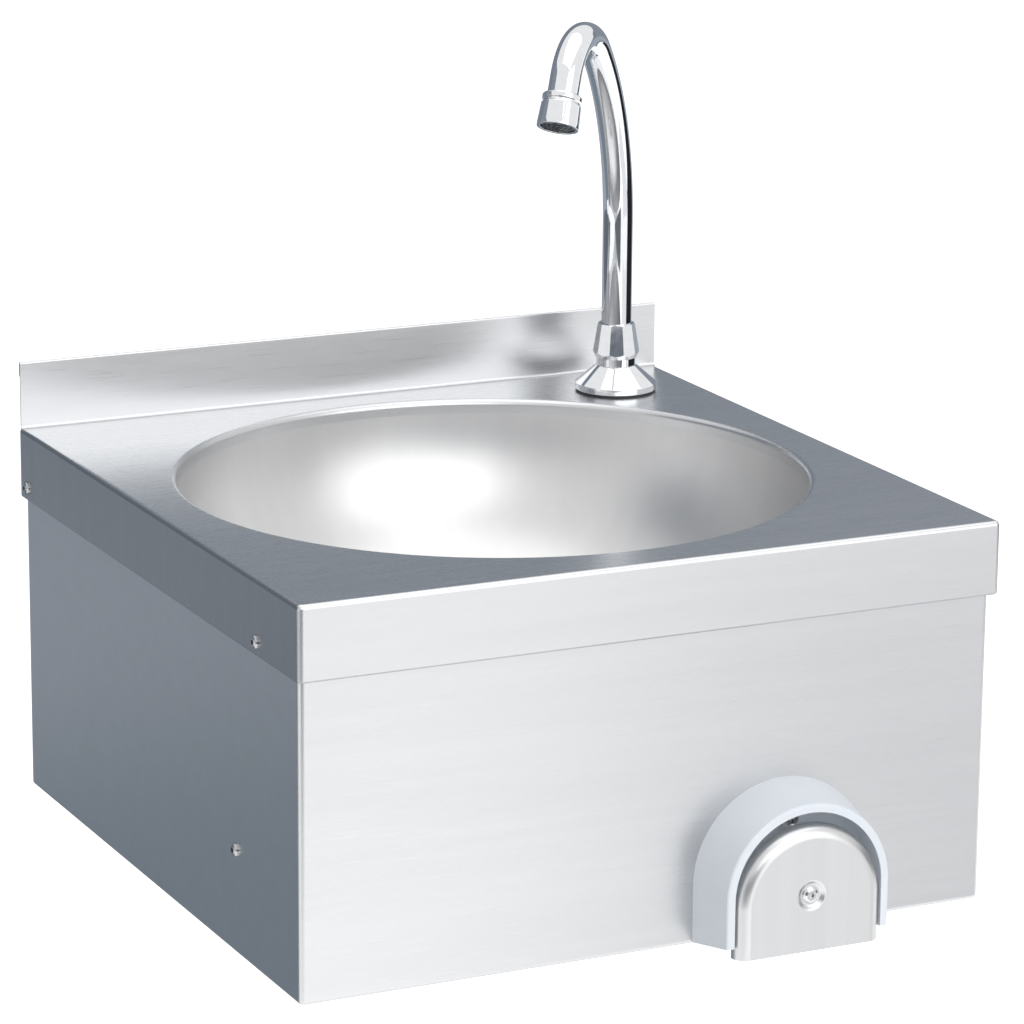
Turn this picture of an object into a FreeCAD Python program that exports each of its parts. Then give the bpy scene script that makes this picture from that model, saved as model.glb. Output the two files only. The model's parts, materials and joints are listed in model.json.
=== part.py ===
"""Wall-hung stainless steel hand wash sink, worked by a knee push.

Frame, in millimetres: the wall is the plane y = 0 and the sink stands out of it towards -Y.
X runs along the wall, Z is up, and the origin is the centre of the four wall bolt holes.
"""
import FreeCAD, Part
import math
import os
import re

import Sketcher

Vector = FreeCAD.Vector
Rotation = FreeCAD.Rotation

# ---------------------------------------------------------------- driving dimensions
SIZES = {
    # worktop with its aprons and splashback
    "top_width": 400.0,
    "top_depth": 400.0,
    "gauge": 1.0,               # thickness of all folded and pressed sheet
    "bend": 2.5,                # outer radius of a folded edge
    "corner": 3.0,              # outer radius of the welded upright corners
    "overrun": 1.0,             # how far a cutting shape runs past the face it cuts
    "thread_chamfer": 0.8,
    "small_chamfer": 0.4,
    "seal_play": 0.02,          # between a seal ring and its groove
    "apron_height": 40.0,
    "apron_hem": 14.0,          # height of the edge that is folded flat inside the apron
    "splash_height": 38.0,
    "splash_hem": 8.0,
    # casing below the worktop
    "casing_drop": 210.5,       # from the top face down to the casing's lower edge
    "casing_overlap": 20.0,     # how far the casing reaches up inside the apron
    "casing_setback": 6.0,      # from the worktop's front edge
    "floor_flange": 12.0,
    "wall_flange": 25.0,
    "upper_bolt_drop": 60.0,    # from the top face to the upper and lower wall bolt holes
    "lower_bolt_drop": 160.0,
    "bolt_hole": 3.5,           # radii of holes, unless the name says otherwise
    "bolt_inset": 12.5,
    # small screws that hold the casing
    "screw_shank": 2.0,
    "screw_head": 3.6,
    "screw_dome": 2.2,
    "screw_socket": 2.6,        # across the flats of the socket
    "screw_play": 0.15,
    "rivet_flange": 0.8,
    "rivet_flange_radius": 5.5,
    "rivet_barrel": 3.1,
    "rivet_bulge": 4.4,
    "rivet_bulge_length": 1.2,
    "rivet_length": 8.0,
    "apron_screw_length": 10.0,
    "apron_screw_drop": 32.5,
    "apron_screw_front": 54.0,  # from the front edge back to the front pair
    "apron_screw_back": 10.5,   # from the wall to the back pair
    "rail_screw_length": 8.0,
    "rail_screw_rise": 27.0,    # above the knee axis
    # bowl
    "bowl_from_wall": 200.0,
    "rim_radius": 175.0,
    "rim_roll": 3.5,
    "lip_depth": 8.0,
    "bowl_side": 115.0,         # radius of the upper wall's curve, seen in section
    "bowl_turn": 60.0,          # degrees that this curve turns before the flatter floor
    "seat_radius": 34.0,
    "seat_slope": 4.0,
    "seat_depth": 3.5,
    "drain_hole": 23.0,
    # waste fitting
    "strainer_radius": 31.5,
    "strainer_thickness": 1.5,
    "strainer_cup": 22.0,
    "strainer_cup_depth": 6.5,
    "strainer_slot": 2.2,
    "inner_slots": 8.0,         # radius of each ring of drain holes
    "outer_slots": 15.0,
    "waste_gasket": 1.5,
    "waste_gasket_radius": 31.0,
    "waste_flange": 33.0,
    "waste_flange_thickness": 5.0,
    "waste_gap": 0.5,           # round the strainer's cup
    "waste_thread": 20.95,
    "waste_bore": 16.5,
    "waste_wall": 4.0,
    "waste_throat": 3.0,        # cone under the flange
    "waste_land": 4.0,
    "waste_cone": 6.0,          # outer cone down to the thread
    "waste_funnel": 8.0,        # inner cone down to the bore
    "waste_clearance": 8.0,     # from the outlet's end up to the casing's lower edge
    "waste_boss": 6.0,
    "waste_arm": 3.0,
    "waste_boss_length": 12.0,
    "waste_screw": 3.0,
    "waste_screw_head": 5.0,
    "waste_screw_length": 20.0,
    # tap
    "tap_from_side": 50.0,
    "tap_from_wall": 50.0,
    "tap_thread": 10.45,
    "thread_play": 0.05,
    "fitting_play": 0.15,
    "tap_gasket": 1.2,
    "tap_base": 23.8,
    "tap_base_chamfer": 0.6,
    "tap_band": 4.8,            # heights above the top face
    "tap_cone": 15.5,
    "tap_neck_top": 20.0,
    "tap_body_top": 30.0,
    "tap_nut_top": 40.0,
    "tap_cone_neck": 11.6,
    "tap_neck": 11.35,
    "tap_nut_thread": 10.8,
    "tap_tail": 52.0,           # length of the tail below the top face
    "tap_waterway": 6.0,
    "tap_socket_floor": 5.0,
    "spigot": 7.2,
    "running_play": 0.05,
    "tap_nut_corner_low": 14.0,
    "tap_nut_corner_high": 10.7,
    "tap_nut_foot": 12.0,
    "tap_nut_chamfer": 4.4,
    "tap_nut_sides": 10,
    "tap_nut_turn": 10.8,       # degrees from +X to the nut's first corner
    "tap_nut_bevel": 3.0,       # height of the bevel round its top
    "slip_ring": 1.0,
    "foot_flange": 3.0,
    "foot_flange_radius": 10.0,
    "ring_groove": 1.2,
    "ring_groove_width": 2.0,
    "ring_low": 6.0,            # heights of the two seal rings above the socket floor
    "ring_high": 16.0,
    "foot_plug": 6.0,           # how far the foot reaches up inside the tube
    "tap_washer": 3.0,
    "tap_washer_radius": 20.0,
    "tap_plate": 1.5,
    "tap_backnut_flats": 27.0,
    "tap_backnut": 8.0,
    # spout
    "spout_radius": 8.75,
    "spout_wall": 1.25,
    "spout_straight": 100.0,    # height above the top face where the bend starts
    "spout_bend": 150.0,
    "spout_bend_turn": 46.0,
    "spout_crook": 32.0,
    "spout_crook_turn": 107.0,
    "spout_end": 15.0,          # straight run from the crook to the aerator
    "spout_azimuth": 225.0,     # degrees from +X, towards the bowl's centre
    # aerator
    "aerator_radius": 11.2,
    "aerator_mouth": 11.8,
    "aerator_length": 19.0,
    "aerator_sleeve": 4.0,      # how far it reaches back over the tube
    "aerator_lip": 2.0,
    "aerator_washer": 1.5,
    "aerator_groove": 0.8,
    "aerator_wall": 1.4,
    "aerator_core": 8.0,        # height of the insert
    "mesh_hole": 0.9,
    "mesh_pitch": 2.6,
    "mesh_rings": 3,
    # knee push
    "knee_from_side": 124.0,
    "knee_rise": 30.0,          # above the casing's lower edge
    "guard_depth": 30.5,
    "guard_root": 51.7,         # outer radius at the casing
    "guard_lip": 47.5,          # outer radius at the front
    "guard_root_rise": 3.0,     # centres of these arcs above the knee axis
    "guard_lip_rise": 1.0,
    "guard_wall": 4.4,
    "guard_plate": 3.0,
    "guard_round": 1.4,         # radius of the front lip's edges
    "guard_spare": 20.0,        # drawn on below the casing, then trimmed
    "guard_foot": 1.0,          # legs end this far above the casing's lower edge
    "guard_foot_lift": 5.0,
    "guard_boss": 9.5,
    "guard_boss_radius": 5.5,
    "guard_screw_circle": 35.0,
    "guard_screw": 2.0,
    "guard_screw_head": 4.0,
    "guard_screw_dome": 2.4,
    "guard_screw_length": 15.0,
    "guard_hub": 11.0,
    "guard_hub_length": 12.0,
    "bush_radius": 7.0,
    "bush_flange": 9.5,
    "bush_flange_thickness": 2.0,
    "bush_tail": 5.0,
    "small_nut_flats": 7.0,
    "small_nut": 3.2,
    "pad_half_width": 42.5,
    "pad_arc_drop": 5.0,        # centre of the pad's round top below the knee axis
    "pad_foot_drop": 30.5,
    "pad_depth": 8.0,
    "pad_edge": 7.4,
    "pad_face": 33.5,           # in front of the casing, at rest
    "dimple_radius": 7.5,
    "dimple_floor": 5.2,
    "dimple_depth": 1.6,
    "pad_screw": 2.5,
    "pad_screw_head": 4.5,
    "pad_screw_dome": 2.0,
    "pad_screw_length": 16.0,
    "push_travel": 8.0,
    # valve and its spindle
    "rail_setback": 80.0,       # from the worktop's front edge to the rail
    "rail_thickness": 1.5,
    "rail_height": 65.0,
    "rail_foot": 5.0,           # above the casing's lower edge
    "rail_tab": 19.0,
    "rail_bend": 3.0,
    "spindle": 4.0,
    "spindle_neck": 3.0,
    "spindle_end": 1.0,         # beyond the poppet's nut
    "nose": 11.0,
    "nose_length": 12.0,
    "lock_washer": 1.0,
    "lock_washer_radius": 16.5,
    "lock_nut_flats": 30.0,
    "lock_nut": 5.0,
    "valve_flats": 34.0,
    "valve_collar": 8.0,
    "valve_barrel": 15.5,
    "gland_groove": 1.6,
    "gland_width": 2.2,
    "front_chamber": 9.0,
    "seat_hole": 6.0,
    "seat_wall": 3.0,
    "back_chamber": 12.0,
    "valve_face": 38.0,         # rail front to the seat wall
    "valve_length": 80.0,       # rail front to the rear end
    "seat_gap": 0.05,
    "poppet_seal": 2.0,
    "poppet_seal_radius": 9.0,
    "poppet": 4.0,
    "poppet_radius": 9.5,
    "poppet_nut_flats": 10.0,
    "poppet_nut": 4.0,
    "spring_mean": 8.2,
    "spring_wire": 0.65,
    "spring_turns": 6,
    "spring_slack": 0.1,        # between the spring's ends and what they push on
    "stop_collar": 6.0,
    "stop_collar_radius": 8.0,
    "stop_gap": 0.3,
    # inlet manifold
    "spigot_length": 10.0,
    "manifold_radius": 12.5,
    "manifold_bore": 7.0,
    "manifold_end": 16.0,       # from each inlet's axis to the end beyond it
    "spigot_bore": 6.0,
    "manifold_gasket": 1.5,
    "inlet_spacing": 64.0,
    "inlet_shoulder": 13.0,
    "inlet_shoulder_drop": 1.0, # below the manifold's round body
    "inlet_thread": 10.45,
    "inlet_length": 14.0,
    "inlet_bore": 8.0,
    "cartridge_length": 12.0,
    "cartridge_bore": 5.0,
    "cartridge_mouth": 2.5,
    "cartridge_floor": 3.0,
    "cartridge_inset": 1.0,
    # riser pipe from the valve to the tap
    "outlet_reach": 36.0,       # knee axis to the end of the valve's side outlet
    "outlet_back": 24.0,        # rail front to the outlet's axis
    "pipe_radius": 5.0,
    "pipe_wall": 1.0,
    "pipe_bend": 25.0,
    "pipe_flare": 9.0,
    "pipe_flare_thickness": 1.4,
    "pipe_washer": 1.5,
    "union_flats": 24.0,
    "union_grip": 8.0,
    "union_end": 3.0,
}

# Places and sizes that follow from the driving dimensions.
PLACES = {
    "top_level": "(upper_bolt_drop + lower_bolt_drop) / 2",
    "under_top": "top_level - gauge",
    "apron_level": "top_level - apron_height",
    "half_width": "top_width / 2",
    "splash_back_bend": "-(gauge + bend)",
    "splash_bend_level": "top_level + bend - gauge",
    "splash_top": "top_level + splash_height",
    "casing_inset": "2 * gauge + rivet_flange",
    "casing_side": "half_width - casing_inset",
    "casing_front": "-top_depth + casing_setback",
    "casing_level": "top_level - casing_drop",
    "casing_top": "apron_level + casing_overlap",
    "bolt_x": "casing_side - bolt_inset",
    "bolt_z": "(lower_bolt_drop - upper_bolt_drop) / 2",
    "screw_level": "top_level - apron_screw_drop",
    "bowl_y": "-bowl_from_wall",
    "bowl_edge": "rim_radius - rim_roll",
    "lip_level": "top_level - lip_depth",
    "side_centre": "bowl_edge - bowl_side",
    "bowl_floor": "bowl_side + side_centre / cos(bowl_turn)",
    "floor_centre": "lip_level + side_centre * tan(bowl_turn)",
    "seat_edge": "seat_radius + seat_slope",
    "seat_edge_level": "floor_centre - sqrt(bowl_floor ^ 2 - seat_edge ^ 2)",
    "seat_edge_under": "floor_centre - sqrt((bowl_floor + gauge) ^ 2 - seat_edge ^ 2)",
    "seat_level": "seat_edge_level - seat_depth",
    "seat_under": "seat_level - gauge",
    "cup_bottom": "seat_level + waste_gasket + strainer_thickness - strainer_cup_depth",
    "waste_top": "seat_under - waste_gasket",
    "boss_top": "cup_bottom - waste_gap",
    "outlet_level": "casing_level + waste_clearance",
    "tap_x": "half_width - tap_from_side",
    "tap_y": "-tap_from_wall",
    "tap_hole": "tap_thread + fitting_play",
    "body_bottom": "top_level - tap_tail",
    "foot_bottom": "top_level + tap_body_top + 2 * running_play",
    "foot_top": "foot_bottom + foot_flange",
    "slip_top": "foot_top + slip_ring",
    "tube_bottom": "slip_top + 2 * running_play",
    "spout_bore": "spout_radius - spout_wall",
    "knee_x": "half_width - knee_from_side",
    "knee_z": "casing_level + knee_rise",
    "guard_front": "casing_front - guard_depth",
    "guard_level": "casing_level + guard_foot",
    "pad_front": "casing_front - pad_face",
    "pad_foot": "knee_z - pad_foot_drop",
    "dimple_back": "pad_front + dimple_depth + gauge",
    "rail_y": "-top_depth + rail_setback",
    "rail_back": "rail_y + rail_thickness",
    "rail_level": "casing_level + rail_foot",
    "rail_side": "casing_side - gauge",
    "rail_screw_y": "rail_y + rail_tab / 2",
    "rail_screw_z": "knee_z + rail_screw_rise",
    "nose_front": "rail_y - nose_length",
    "valve_seat": "rail_y + valve_face + seat_wall",
    "valve_end": "rail_y + valve_length",
    "poppet_front": "valve_seat + seat_gap + poppet_seal",
    "poppet_back": "poppet_front + poppet",
    "spring_end": "valve_end - spigot_length",
    "manifold_y": "valve_end + manifold_gasket + manifold_radius",
    "inlet_level": "knee_z - manifold_radius - inlet_length",
    "outlet_y": "rail_y + outlet_back",
    "outlet_end": "knee_x + outlet_reach",
    "pipe_start": "outlet_end + pipe_washer",
    "pipe_top": "body_bottom - pipe_washer",
    "collar_back": "nose_front - push_travel - stop_gap",
}

doc = FreeCAD.newDocument("hand_wash_sink")
sheet = doc.addObject("Spreadsheet::Sheet", "Dims")
for row, (alias, size) in enumerate(SIZES.items(), start=1):
    sheet.set(f"A{row}", alias)
    sheet.set(f"B{row}", str(size))
    sheet.setAlias(f"B{row}", alias)
doc.recompute()


def expression(text):
    """The formula with every size written as a cell of the sheet and every place written out."""
    def word(found):
        name = found.group(0)
        if name in PLACES:
            return "(" + expression(PLACES[name]) + ")"
        return "Dims." + name if name in SIZES else name
    return re.sub(r"[a-z_]+[a-z]", word, str(text))


def size(text):
    """The formula's value, in millimetres or degrees."""
    return float(sheet.evalExpression(expression(text)))


def bind(item, prop, text):
    item.setExpression(prop, expression(text))


# ---------------------------------------------------------------- drawing and features
ALONG = {"x": Rotation(Vector(0, 1, 0), 90), "y": Rotation(Vector(1, 0, 0), -90), "z": Rotation()}
NODES = []


def place(item, at, turn=None):
    """Puts an object at three formulas, with a fixed turn."""
    if turn is not None:
        item.Placement = FreeCAD.Placement(Vector(), turn)
    for axis, text in zip("xyz", at):
        bind(item, f"Placement.Base.{axis}", text)
    return item


def node(item, name):
    """Names the object as a finished sub-part."""
    item.Label = name
    NODES.append(item)
    return item


def new_body(name):
    return doc.addObject("PartDesign::Body", name)


def new_sketch(body, plane, offset="0"):
    """A sketch on one of the body's origin planes, moved along its normal by a formula."""
    support = [f for f in body.Origin.OriginFeatures if f.Role == plane + "_Plane"][0]
    sketch = body.newObject("Sketcher::SketchObject", body.Name + "_sketch")
    sketch.AttachmentSupport = [(support, "")]
    sketch.MapMode = "FlatFace"
    if offset != "0":
        bind(sketch, "AttachmentOffset.Base.z", offset)
    return sketch


def fix_point(sketch, geometry, vertex, point):
    for kind, text in zip(("DistanceX", "DistanceY"), point):
        if text == "0":
            axis = -2 if kind == "DistanceX" else -1
            sketch.addConstraint(Sketcher.Constraint("PointOnObject", geometry, vertex, axis))
            continue
        number = sketch.addConstraint(
            Sketcher.Constraint(kind, -1, 1, geometry, vertex, size(text)))
        bind(sketch, f"Constraints[{number}]", text)


def arc_between(start, end, radius, side):
    """The short arc from start to end. side is +1 where it turns left and -1 where it turns right."""
    middle = (start + end) / 2
    half = (end - start).Length / 2
    across = Vector(0, 0, 1).cross(end - start).normalize()
    centre = middle + across * side * math.sqrt(max(radius ** 2 - half ** 2, 0.0))
    first, last = (start, end) if side > 0 else (end, start)
    angles = [math.atan2(p.y - centre.y, p.x - centre.x) for p in (first, last)]
    circle = Part.Circle(centre, Vector(0, 0, 1), radius)
    return Part.ArcOfCircle(circle, angles[0], angles[1])


def outline(sketch, corners):
    """A closed outline. A corner is (u, v), or (u, v, radius, side) where an arc leaves it."""
    points = [Vector(size(c[0]), size(c[1]), 0) for c in corners]
    starts = []
    first = len(sketch.Geometry)
    for index, corner in enumerate(corners):
        start, end = points[index], points[(index + 1) % len(points)]
        if len(corner) == 2:
            sketch.addGeometry(Part.LineSegment(start, end), False)
            starts.append((1, 2))
            continue
        side = corner[3]
        sketch.addGeometry(arc_between(start, end, size(corner[2]), side), False)
        starts.append((1, 2) if side > 0 else (2, 1))
    for index in range(len(corners)):
        after = (index + 1) % len(corners)
        sketch.addConstraint(Sketcher.Constraint(
            "Coincident", first + index, starts[index][1], first + after, starts[after][0]))
    for index, corner in enumerate(corners):
        fix_point(sketch, first + index, starts[index][0], corner[:2])
        if len(corner) > 2:
            number = sketch.addConstraint(
                Sketcher.Constraint("Radius", first + index, size(corner[2])))
            bind(sketch, f"Constraints[{number}]", corner[2])
    return sketch


def circles(sketch, radius, centres):
    """Circles of one radius at centres given by formulas."""
    for centre in centres:
        middle = Vector(size(centre[0]), size(centre[1]), 0)
        number = sketch.addGeometry(Part.Circle(middle, Vector(0, 0, 1), size(radius)), False)
        fix_point(sketch, number, 3, centre)
        constraint = sketch.addConstraint(Sketcher.Constraint("Radius", number, size(radius)))
        bind(sketch, f"Constraints[{constraint}]", radius)
    return sketch


def rectangle(sketch, low_u, low_v, high_u, high_v):
    return outline(sketch, [(low_u, low_v), (high_u, low_v), (high_u, high_v), (low_u, high_v)])


def rounded(sketch, low_u, low_v, high_u, high_v, radius, back_radius=None):
    """A rectangle with its two low corners rounded, and its two high ones where a radius is given."""
    corners = [
        (low_u, f"{low_v} + ({radius})", radius, 1),
        (f"{low_u} + ({radius})", low_v),
        (f"{high_u} - ({radius})", low_v, radius, 1),
        (high_u, f"{low_v} + ({radius})"),
    ]
    if back_radius is None:
        return outline(sketch, corners + [(high_u, high_v), (low_u, high_v)])
    return outline(sketch, corners + [
        (high_u, f"{high_v} - ({back_radius})", back_radius, 1),
        (f"{high_u} - ({back_radius})", high_v),
        (f"{low_u} + ({back_radius})", high_v, back_radius, 1),
        (low_u, f"{high_v} - ({back_radius})"),
    ])


def polygon(sides, corner_radius):
    """Corners of a regular polygon about the sketch's origin."""
    step = 360 / sides
    return [(f"({corner_radius}) * cos({step * k})", f"({corner_radius}) * sin({step * k})")
            for k in range(sides)]


def extrude(body, kind, sketch, length=None, backwards=False, both=False):
    """A Pad or a Pocket. With no length a Pocket goes through all, both ways."""
    feature = body.newObject("PartDesign::" + kind, body.Name + "_" + kind.lower())
    feature.Profile = sketch
    if length is None:
        feature.Type = "ThroughAll"
        feature.SideType = "Symmetric"
    else:
        bind(feature, "Length", length)
        feature.Reversed = backwards
        if both:
            feature.SideType = "Symmetric"
    doc.recompute()
    return feature


def spin(body, kind, sketch):
    """A Revolution or a Groove about the sketch's upright axis."""
    feature = body.newObject("PartDesign::" + kind, body.Name + "_" + kind.lower())
    feature.Profile = sketch
    feature.ReferenceAxis = (sketch, ["V_Axis"])
    feature.Angle = 360
    doc.recompute()
    return feature


def turned(name, profile, at=None, along="z"):
    """A body turned from (radius, height) corners about its own axis, then set along X, Y or Z."""
    body = new_body(name)
    spin(body, "Revolution", outline(new_sketch(body, "XZ"), profile))
    return place(body, at, ALONG[along]) if at else body


def ring(name, inner, outer, low, high, at=None, along="z"):
    return turned(name, [(inner, low), (outer, low), (outer, high), (inner, high)], at, along)


def fillet(body, radius, wanted):
    """Rounds the edges of the body's last solid that the test picks."""
    last = body.Tip
    names = [f"Edge{k}" for k, edge in enumerate(last.Shape.Edges, start=1) if wanted(edge)]
    feature = body.newObject("PartDesign::Fillet", body.Name + "_fillet")
    feature.Base = (last, names)
    bind(feature, "Radius", radius)
    doc.recompute()
    return feature


def hex_nut(name, flats, height, bore, at=None, along="z"):
    """A hexagon nut with both faces chamfered, from 0 to its height along its own axis."""
    corner = f"({flats}) / 2 / cos(30)"
    cut = f"(({corner}) - ({flats}) / 2)"
    body = new_body(name)
    extrude(body, "Pad", outline(new_sketch(body, "XY"), polygon(6, corner)), height)
    for low, sign in (("0", 1), (height, -1)):
        slope = [(f"{flats} / 2 * 0.97", low), (f"{corner} + overrun", low),
                 (f"{corner} + overrun", f"{low} + {sign} * 0.6 * {cut}")]
        spin(body, "Groove", outline(new_sketch(body, "XZ"), slope))
    extrude(body, "Pocket", circles(new_sketch(body, "XY"), bore, [("0", "0")]))
    return place(body, at, ALONG[along]) if at else body


def copies(name, item, places):
    """One node of several loose copies of a piece, each at (x, y, z, turn)."""
    links = []
    for spot in places:
        link = doc.addObject("App::Link", name + "_copy")
        link.LinkedObject = item
        links.append(place(link, spot[:3], spot[3]))
    group = doc.addObject("Part::Compound", name)
    group.Links = links
    return node(group, name)


def level_edge(edge, level):
    box = edge.BoundBox
    return abs(box.ZMin - level) < 0.01 and abs(box.ZMax - level) < 0.01


# ---------------------------------------------------------------- worktop
def folded(name, outside, inside):
    """A body that goes on from the sheet left between an outer and an inner block."""
    sheet_metal = doc.addObject("Part::Cut", name + "_sheet")
    sheet_metal.Base = outside
    sheet_metal.Tool = inside
    doc.recompute()
    body = new_body(name)
    body.BaseFeature = sheet_metal
    doc.recompute()
    return body


def top_block(name, inset, low, high, top_radius):
    """The worktop's outline drawn in by an inset, open to the wall, with its top edges rounded."""
    body = new_body(name)
    plan = rounded(new_sketch(body, "XY", low), f"-half_width + {inset}", f"-top_depth + {inset}",
                   f"half_width - {inset}", "0", f"corner - {inset}")
    extrude(body, "Pad", plan, f"({high}) - ({low})")
    level = size(high)
    fillet(body, top_radius, lambda edge: level_edge(edge, level) and edge.BoundBox.YMin < -0.01)
    return body


def worktop():
    """One sheet: pressed top with a rolled hole, folded aprons on three sides, splashback behind."""
    outside = top_block("top_outside", "0", "apron_level", "top_level", "bend")
    inside = top_block("top_inside", "gauge", "apron_level", "under_top", "bend - gauge")
    body = folded("worktop", outside, inside)
    hem = rounded(new_sketch(body, "XY", "apron_level"), "-half_width + gauge * 0.5",
                  "-top_depth + gauge * 0.5", "half_width - gauge * 0.5", "0", "corner - gauge * 0.5")
    extrude(body, "Pad", hem, "apron_hem")
    opening = rounded(new_sketch(body, "XY", "apron_level"), "-half_width + 2 * gauge",
                      "-top_depth + 2 * gauge", "half_width - 2 * gauge", "0", "corner - 2 * gauge")
    extrude(body, "Pocket", opening, "apron_hem", backwards=True)

    notch = rectangle(new_sketch(body, "XY", "under_top"), "-half_width + gauge", "splash_back_bend",
                      "half_width - gauge", "0")
    extrude(body, "Pocket", notch, "gauge", backwards=True)
    section = outline(new_sketch(body, "YZ"), [
        ("splash_back_bend", "under_top", "bend", 1),
        ("-gauge", "splash_bend_level"),
        ("-gauge", "splash_top - splash_hem"),
        ("0", "splash_top - splash_hem"),
        ("0", "splash_top - gauge", "gauge", 1),
        ("-gauge", "splash_top", "gauge", 1),
        ("-2 * gauge", "splash_top - gauge"),
        ("-2 * gauge", "splash_bend_level + gauge"),
        ("-2 * gauge", "splash_bend_level", "bend - gauge", -1),
        ("splash_back_bend", "top_level"),
    ])
    extrude(body, "Pad", section, "top_width", both=True)

    extrude(body, "Pocket", circles(new_sketch(body, "XY"), "rim_radius", [("0", "bowl_y")]))
    lip = outline(new_sketch(body, "XZ", "bowl_from_wall"), [
        ("rim_radius + gauge", "top_level"),
        ("rim_radius", "top_level", "rim_roll", 1),
        ("bowl_edge", "top_level - rim_roll"),
        ("bowl_edge", "lip_level"),
        ("bowl_edge + gauge", "lip_level"),
        ("bowl_edge + gauge", "top_level - rim_roll", "rim_roll - gauge", -1),
        ("rim_radius", "under_top"),
        ("rim_radius + gauge", "under_top"),
    ])
    spin(body, "Revolution", lip)
    extrude(body, "Pocket", circles(new_sketch(body, "XY"), "tap_hole", [("tap_x", "tap_y")]))
    screws = [("-top_depth + apron_screw_front", "screw_level"), ("-apron_screw_back", "screw_level")]
    extrude(body, "Pocket", circles(new_sketch(body, "YZ"), "screw_shank + screw_play", screws))
    return node(body, "worktop")


def bowl():
    """Round pressed bowl, welded edge to edge under the worktop's rolled lip."""
    profile = [
        ("bowl_edge", "lip_level", "bowl_side", -1),
        ("side_centre + bowl_side * cos(bowl_turn)", "lip_level - bowl_side * sin(bowl_turn)",
         "bowl_floor", -1),
        ("seat_edge", "seat_edge_level"),
        ("seat_radius", "seat_level"),
        ("drain_hole", "seat_level"),
        ("drain_hole", "seat_under"),
        ("seat_radius", "seat_under"),
        ("seat_edge", "seat_edge_under", "bowl_floor + gauge", 1),
        ("side_centre + (bowl_side + gauge) * cos(bowl_turn)",
         "lip_level - (bowl_side + gauge) * sin(bowl_turn)", "bowl_side + gauge", 1),
        ("bowl_edge + gauge", "lip_level"),
    ]
    return node(turned("bowl", profile, ("0", "bowl_y", "0")), "bowl")


# ---------------------------------------------------------------- casing
def casing_block(name, inset, level):
    """The casing's outline drawn in by an inset, from a level up, with its lower edges rounded."""
    body = new_body(name)
    plan = rounded(new_sketch(body, "XY", level), f"-casing_side + {inset}", f"casing_front + {inset}",
                   f"casing_side - {inset}", f"-{inset}", f"corner - {inset}", f"corner - {inset}")
    extrude(body, "Pad", plan, f"casing_top - ({level})")
    low = size(level)
    fillet(body, f"bend - {inset}", lambda edge: level_edge(edge, low))
    return body


def casing():
    """One sheet round the front and sides, with flanges folded in along the floor and the wall."""
    body = folded("casing", casing_block("casing_outside", "0", "casing_level"),
                  casing_block("casing_inside", "gauge", "casing_level + gauge"))
    opening = rectangle(new_sketch(body, "XY", "casing_level"), "-casing_side + floor_flange",
                        "casing_front + floor_flange", "casing_side - floor_flange", "0")
    extrude(body, "Pocket", opening, "bend", backwards=True)
    back = rectangle(new_sketch(body, "XZ"), "-casing_side + wall_flange", "casing_level - gauge",
                     "casing_side - wall_flange", "casing_top + gauge")
    extrude(body, "Pocket", back, "4 * bend", both=True)

    bolts = [(f"{x} * bolt_x", f"{z} * bolt_z") for x in (-1, 1) for z in (-1, 1)]
    extrude(body, "Pocket", circles(new_sketch(body, "XZ"), "bolt_hole", bolts), "4 * bend", both=True)
    rivets = [("-top_depth + apron_screw_front", "screw_level"), ("-apron_screw_back", "screw_level")]
    extrude(body, "Pocket", circles(new_sketch(body, "YZ"), "rivet_barrel + screw_play", rivets))
    rail = [("rail_screw_y", "rail_screw_z")]
    extrude(body, "Pocket", circles(new_sketch(body, "YZ"), "screw_shank + screw_play", rail))
    for radius, spots in (("bush_radius + fitting_play", [("knee_x", "knee_z")]),
                          ("guard_screw + screw_play", guard_screw_spots())):
        holes = circles(new_sketch(body, "XZ", "-casing_front"), radius, spots)
        extrude(body, "Pocket", holes, "4 * bend", both=True)
    return node(body, "casing")


def guard_screw_spots():
    return [(f"knee_x + guard_screw_circle * cos({angle})",
             f"knee_z + guard_screw_circle * sin({angle})") for angle in (90, 210, 330)]


def domed_screw(name, shank, length, head, dome, flats):
    """A domed head at z = 0 to its dome's height, a hexagon socket in it and a shank below."""
    body = new_body(name)
    profile = [
        ("0", f"-({length})"),
        (f"{shank} - small_chamfer", f"-({length})"),
        (shank, f"-({length}) + small_chamfer"),
        (shank, "0"),
        (head, "0"),
        (head, f"{dome} * 0.35"),
        (f"{head} * 0.86", f"{dome} * 0.72"),
        (f"{head} * 0.6", dome),
        ("0", dome),
    ]
    spin(body, "Revolution", outline(new_sketch(body, "XZ"), profile))
    socket = outline(new_sketch(body, "XY", dome), polygon(6, f"{flats} / 2 / cos(30)"))
    extrude(body, "Pocket", socket, f"{dome} * 0.75")
    return body


def crossed_screw(name, shank, length, head, dome):
    """A pan head with a crossed recess, from z = 0 up, and a shank below."""
    body = new_body(name)
    profile = [
        ("0", f"-({length})"),
        (f"{shank} - small_chamfer", f"-({length})"),
        (shank, f"-({length}) + small_chamfer"),
        (shank, "0"),
        (head, "0"),
        (head, f"{dome} * 0.5"),
        (f"{head} * 0.9", f"{dome} * 0.8"),
        (f"{head} * 0.65", dome),
        ("0", dome),
    ]
    spin(body, "Revolution", outline(new_sketch(body, "XZ"), profile))
    for wide, tall in ((0.55, 0.12), (0.12, 0.55)):
        slot = rectangle(new_sketch(body, "XY", dome), f"-{wide} * {head}", f"-{tall} * {head}",
                         f"{wide} * {head}", f"{tall} * {head}")
        extrude(body, "Pocket", slot, f"{dome} * 0.6")
    return body


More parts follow.
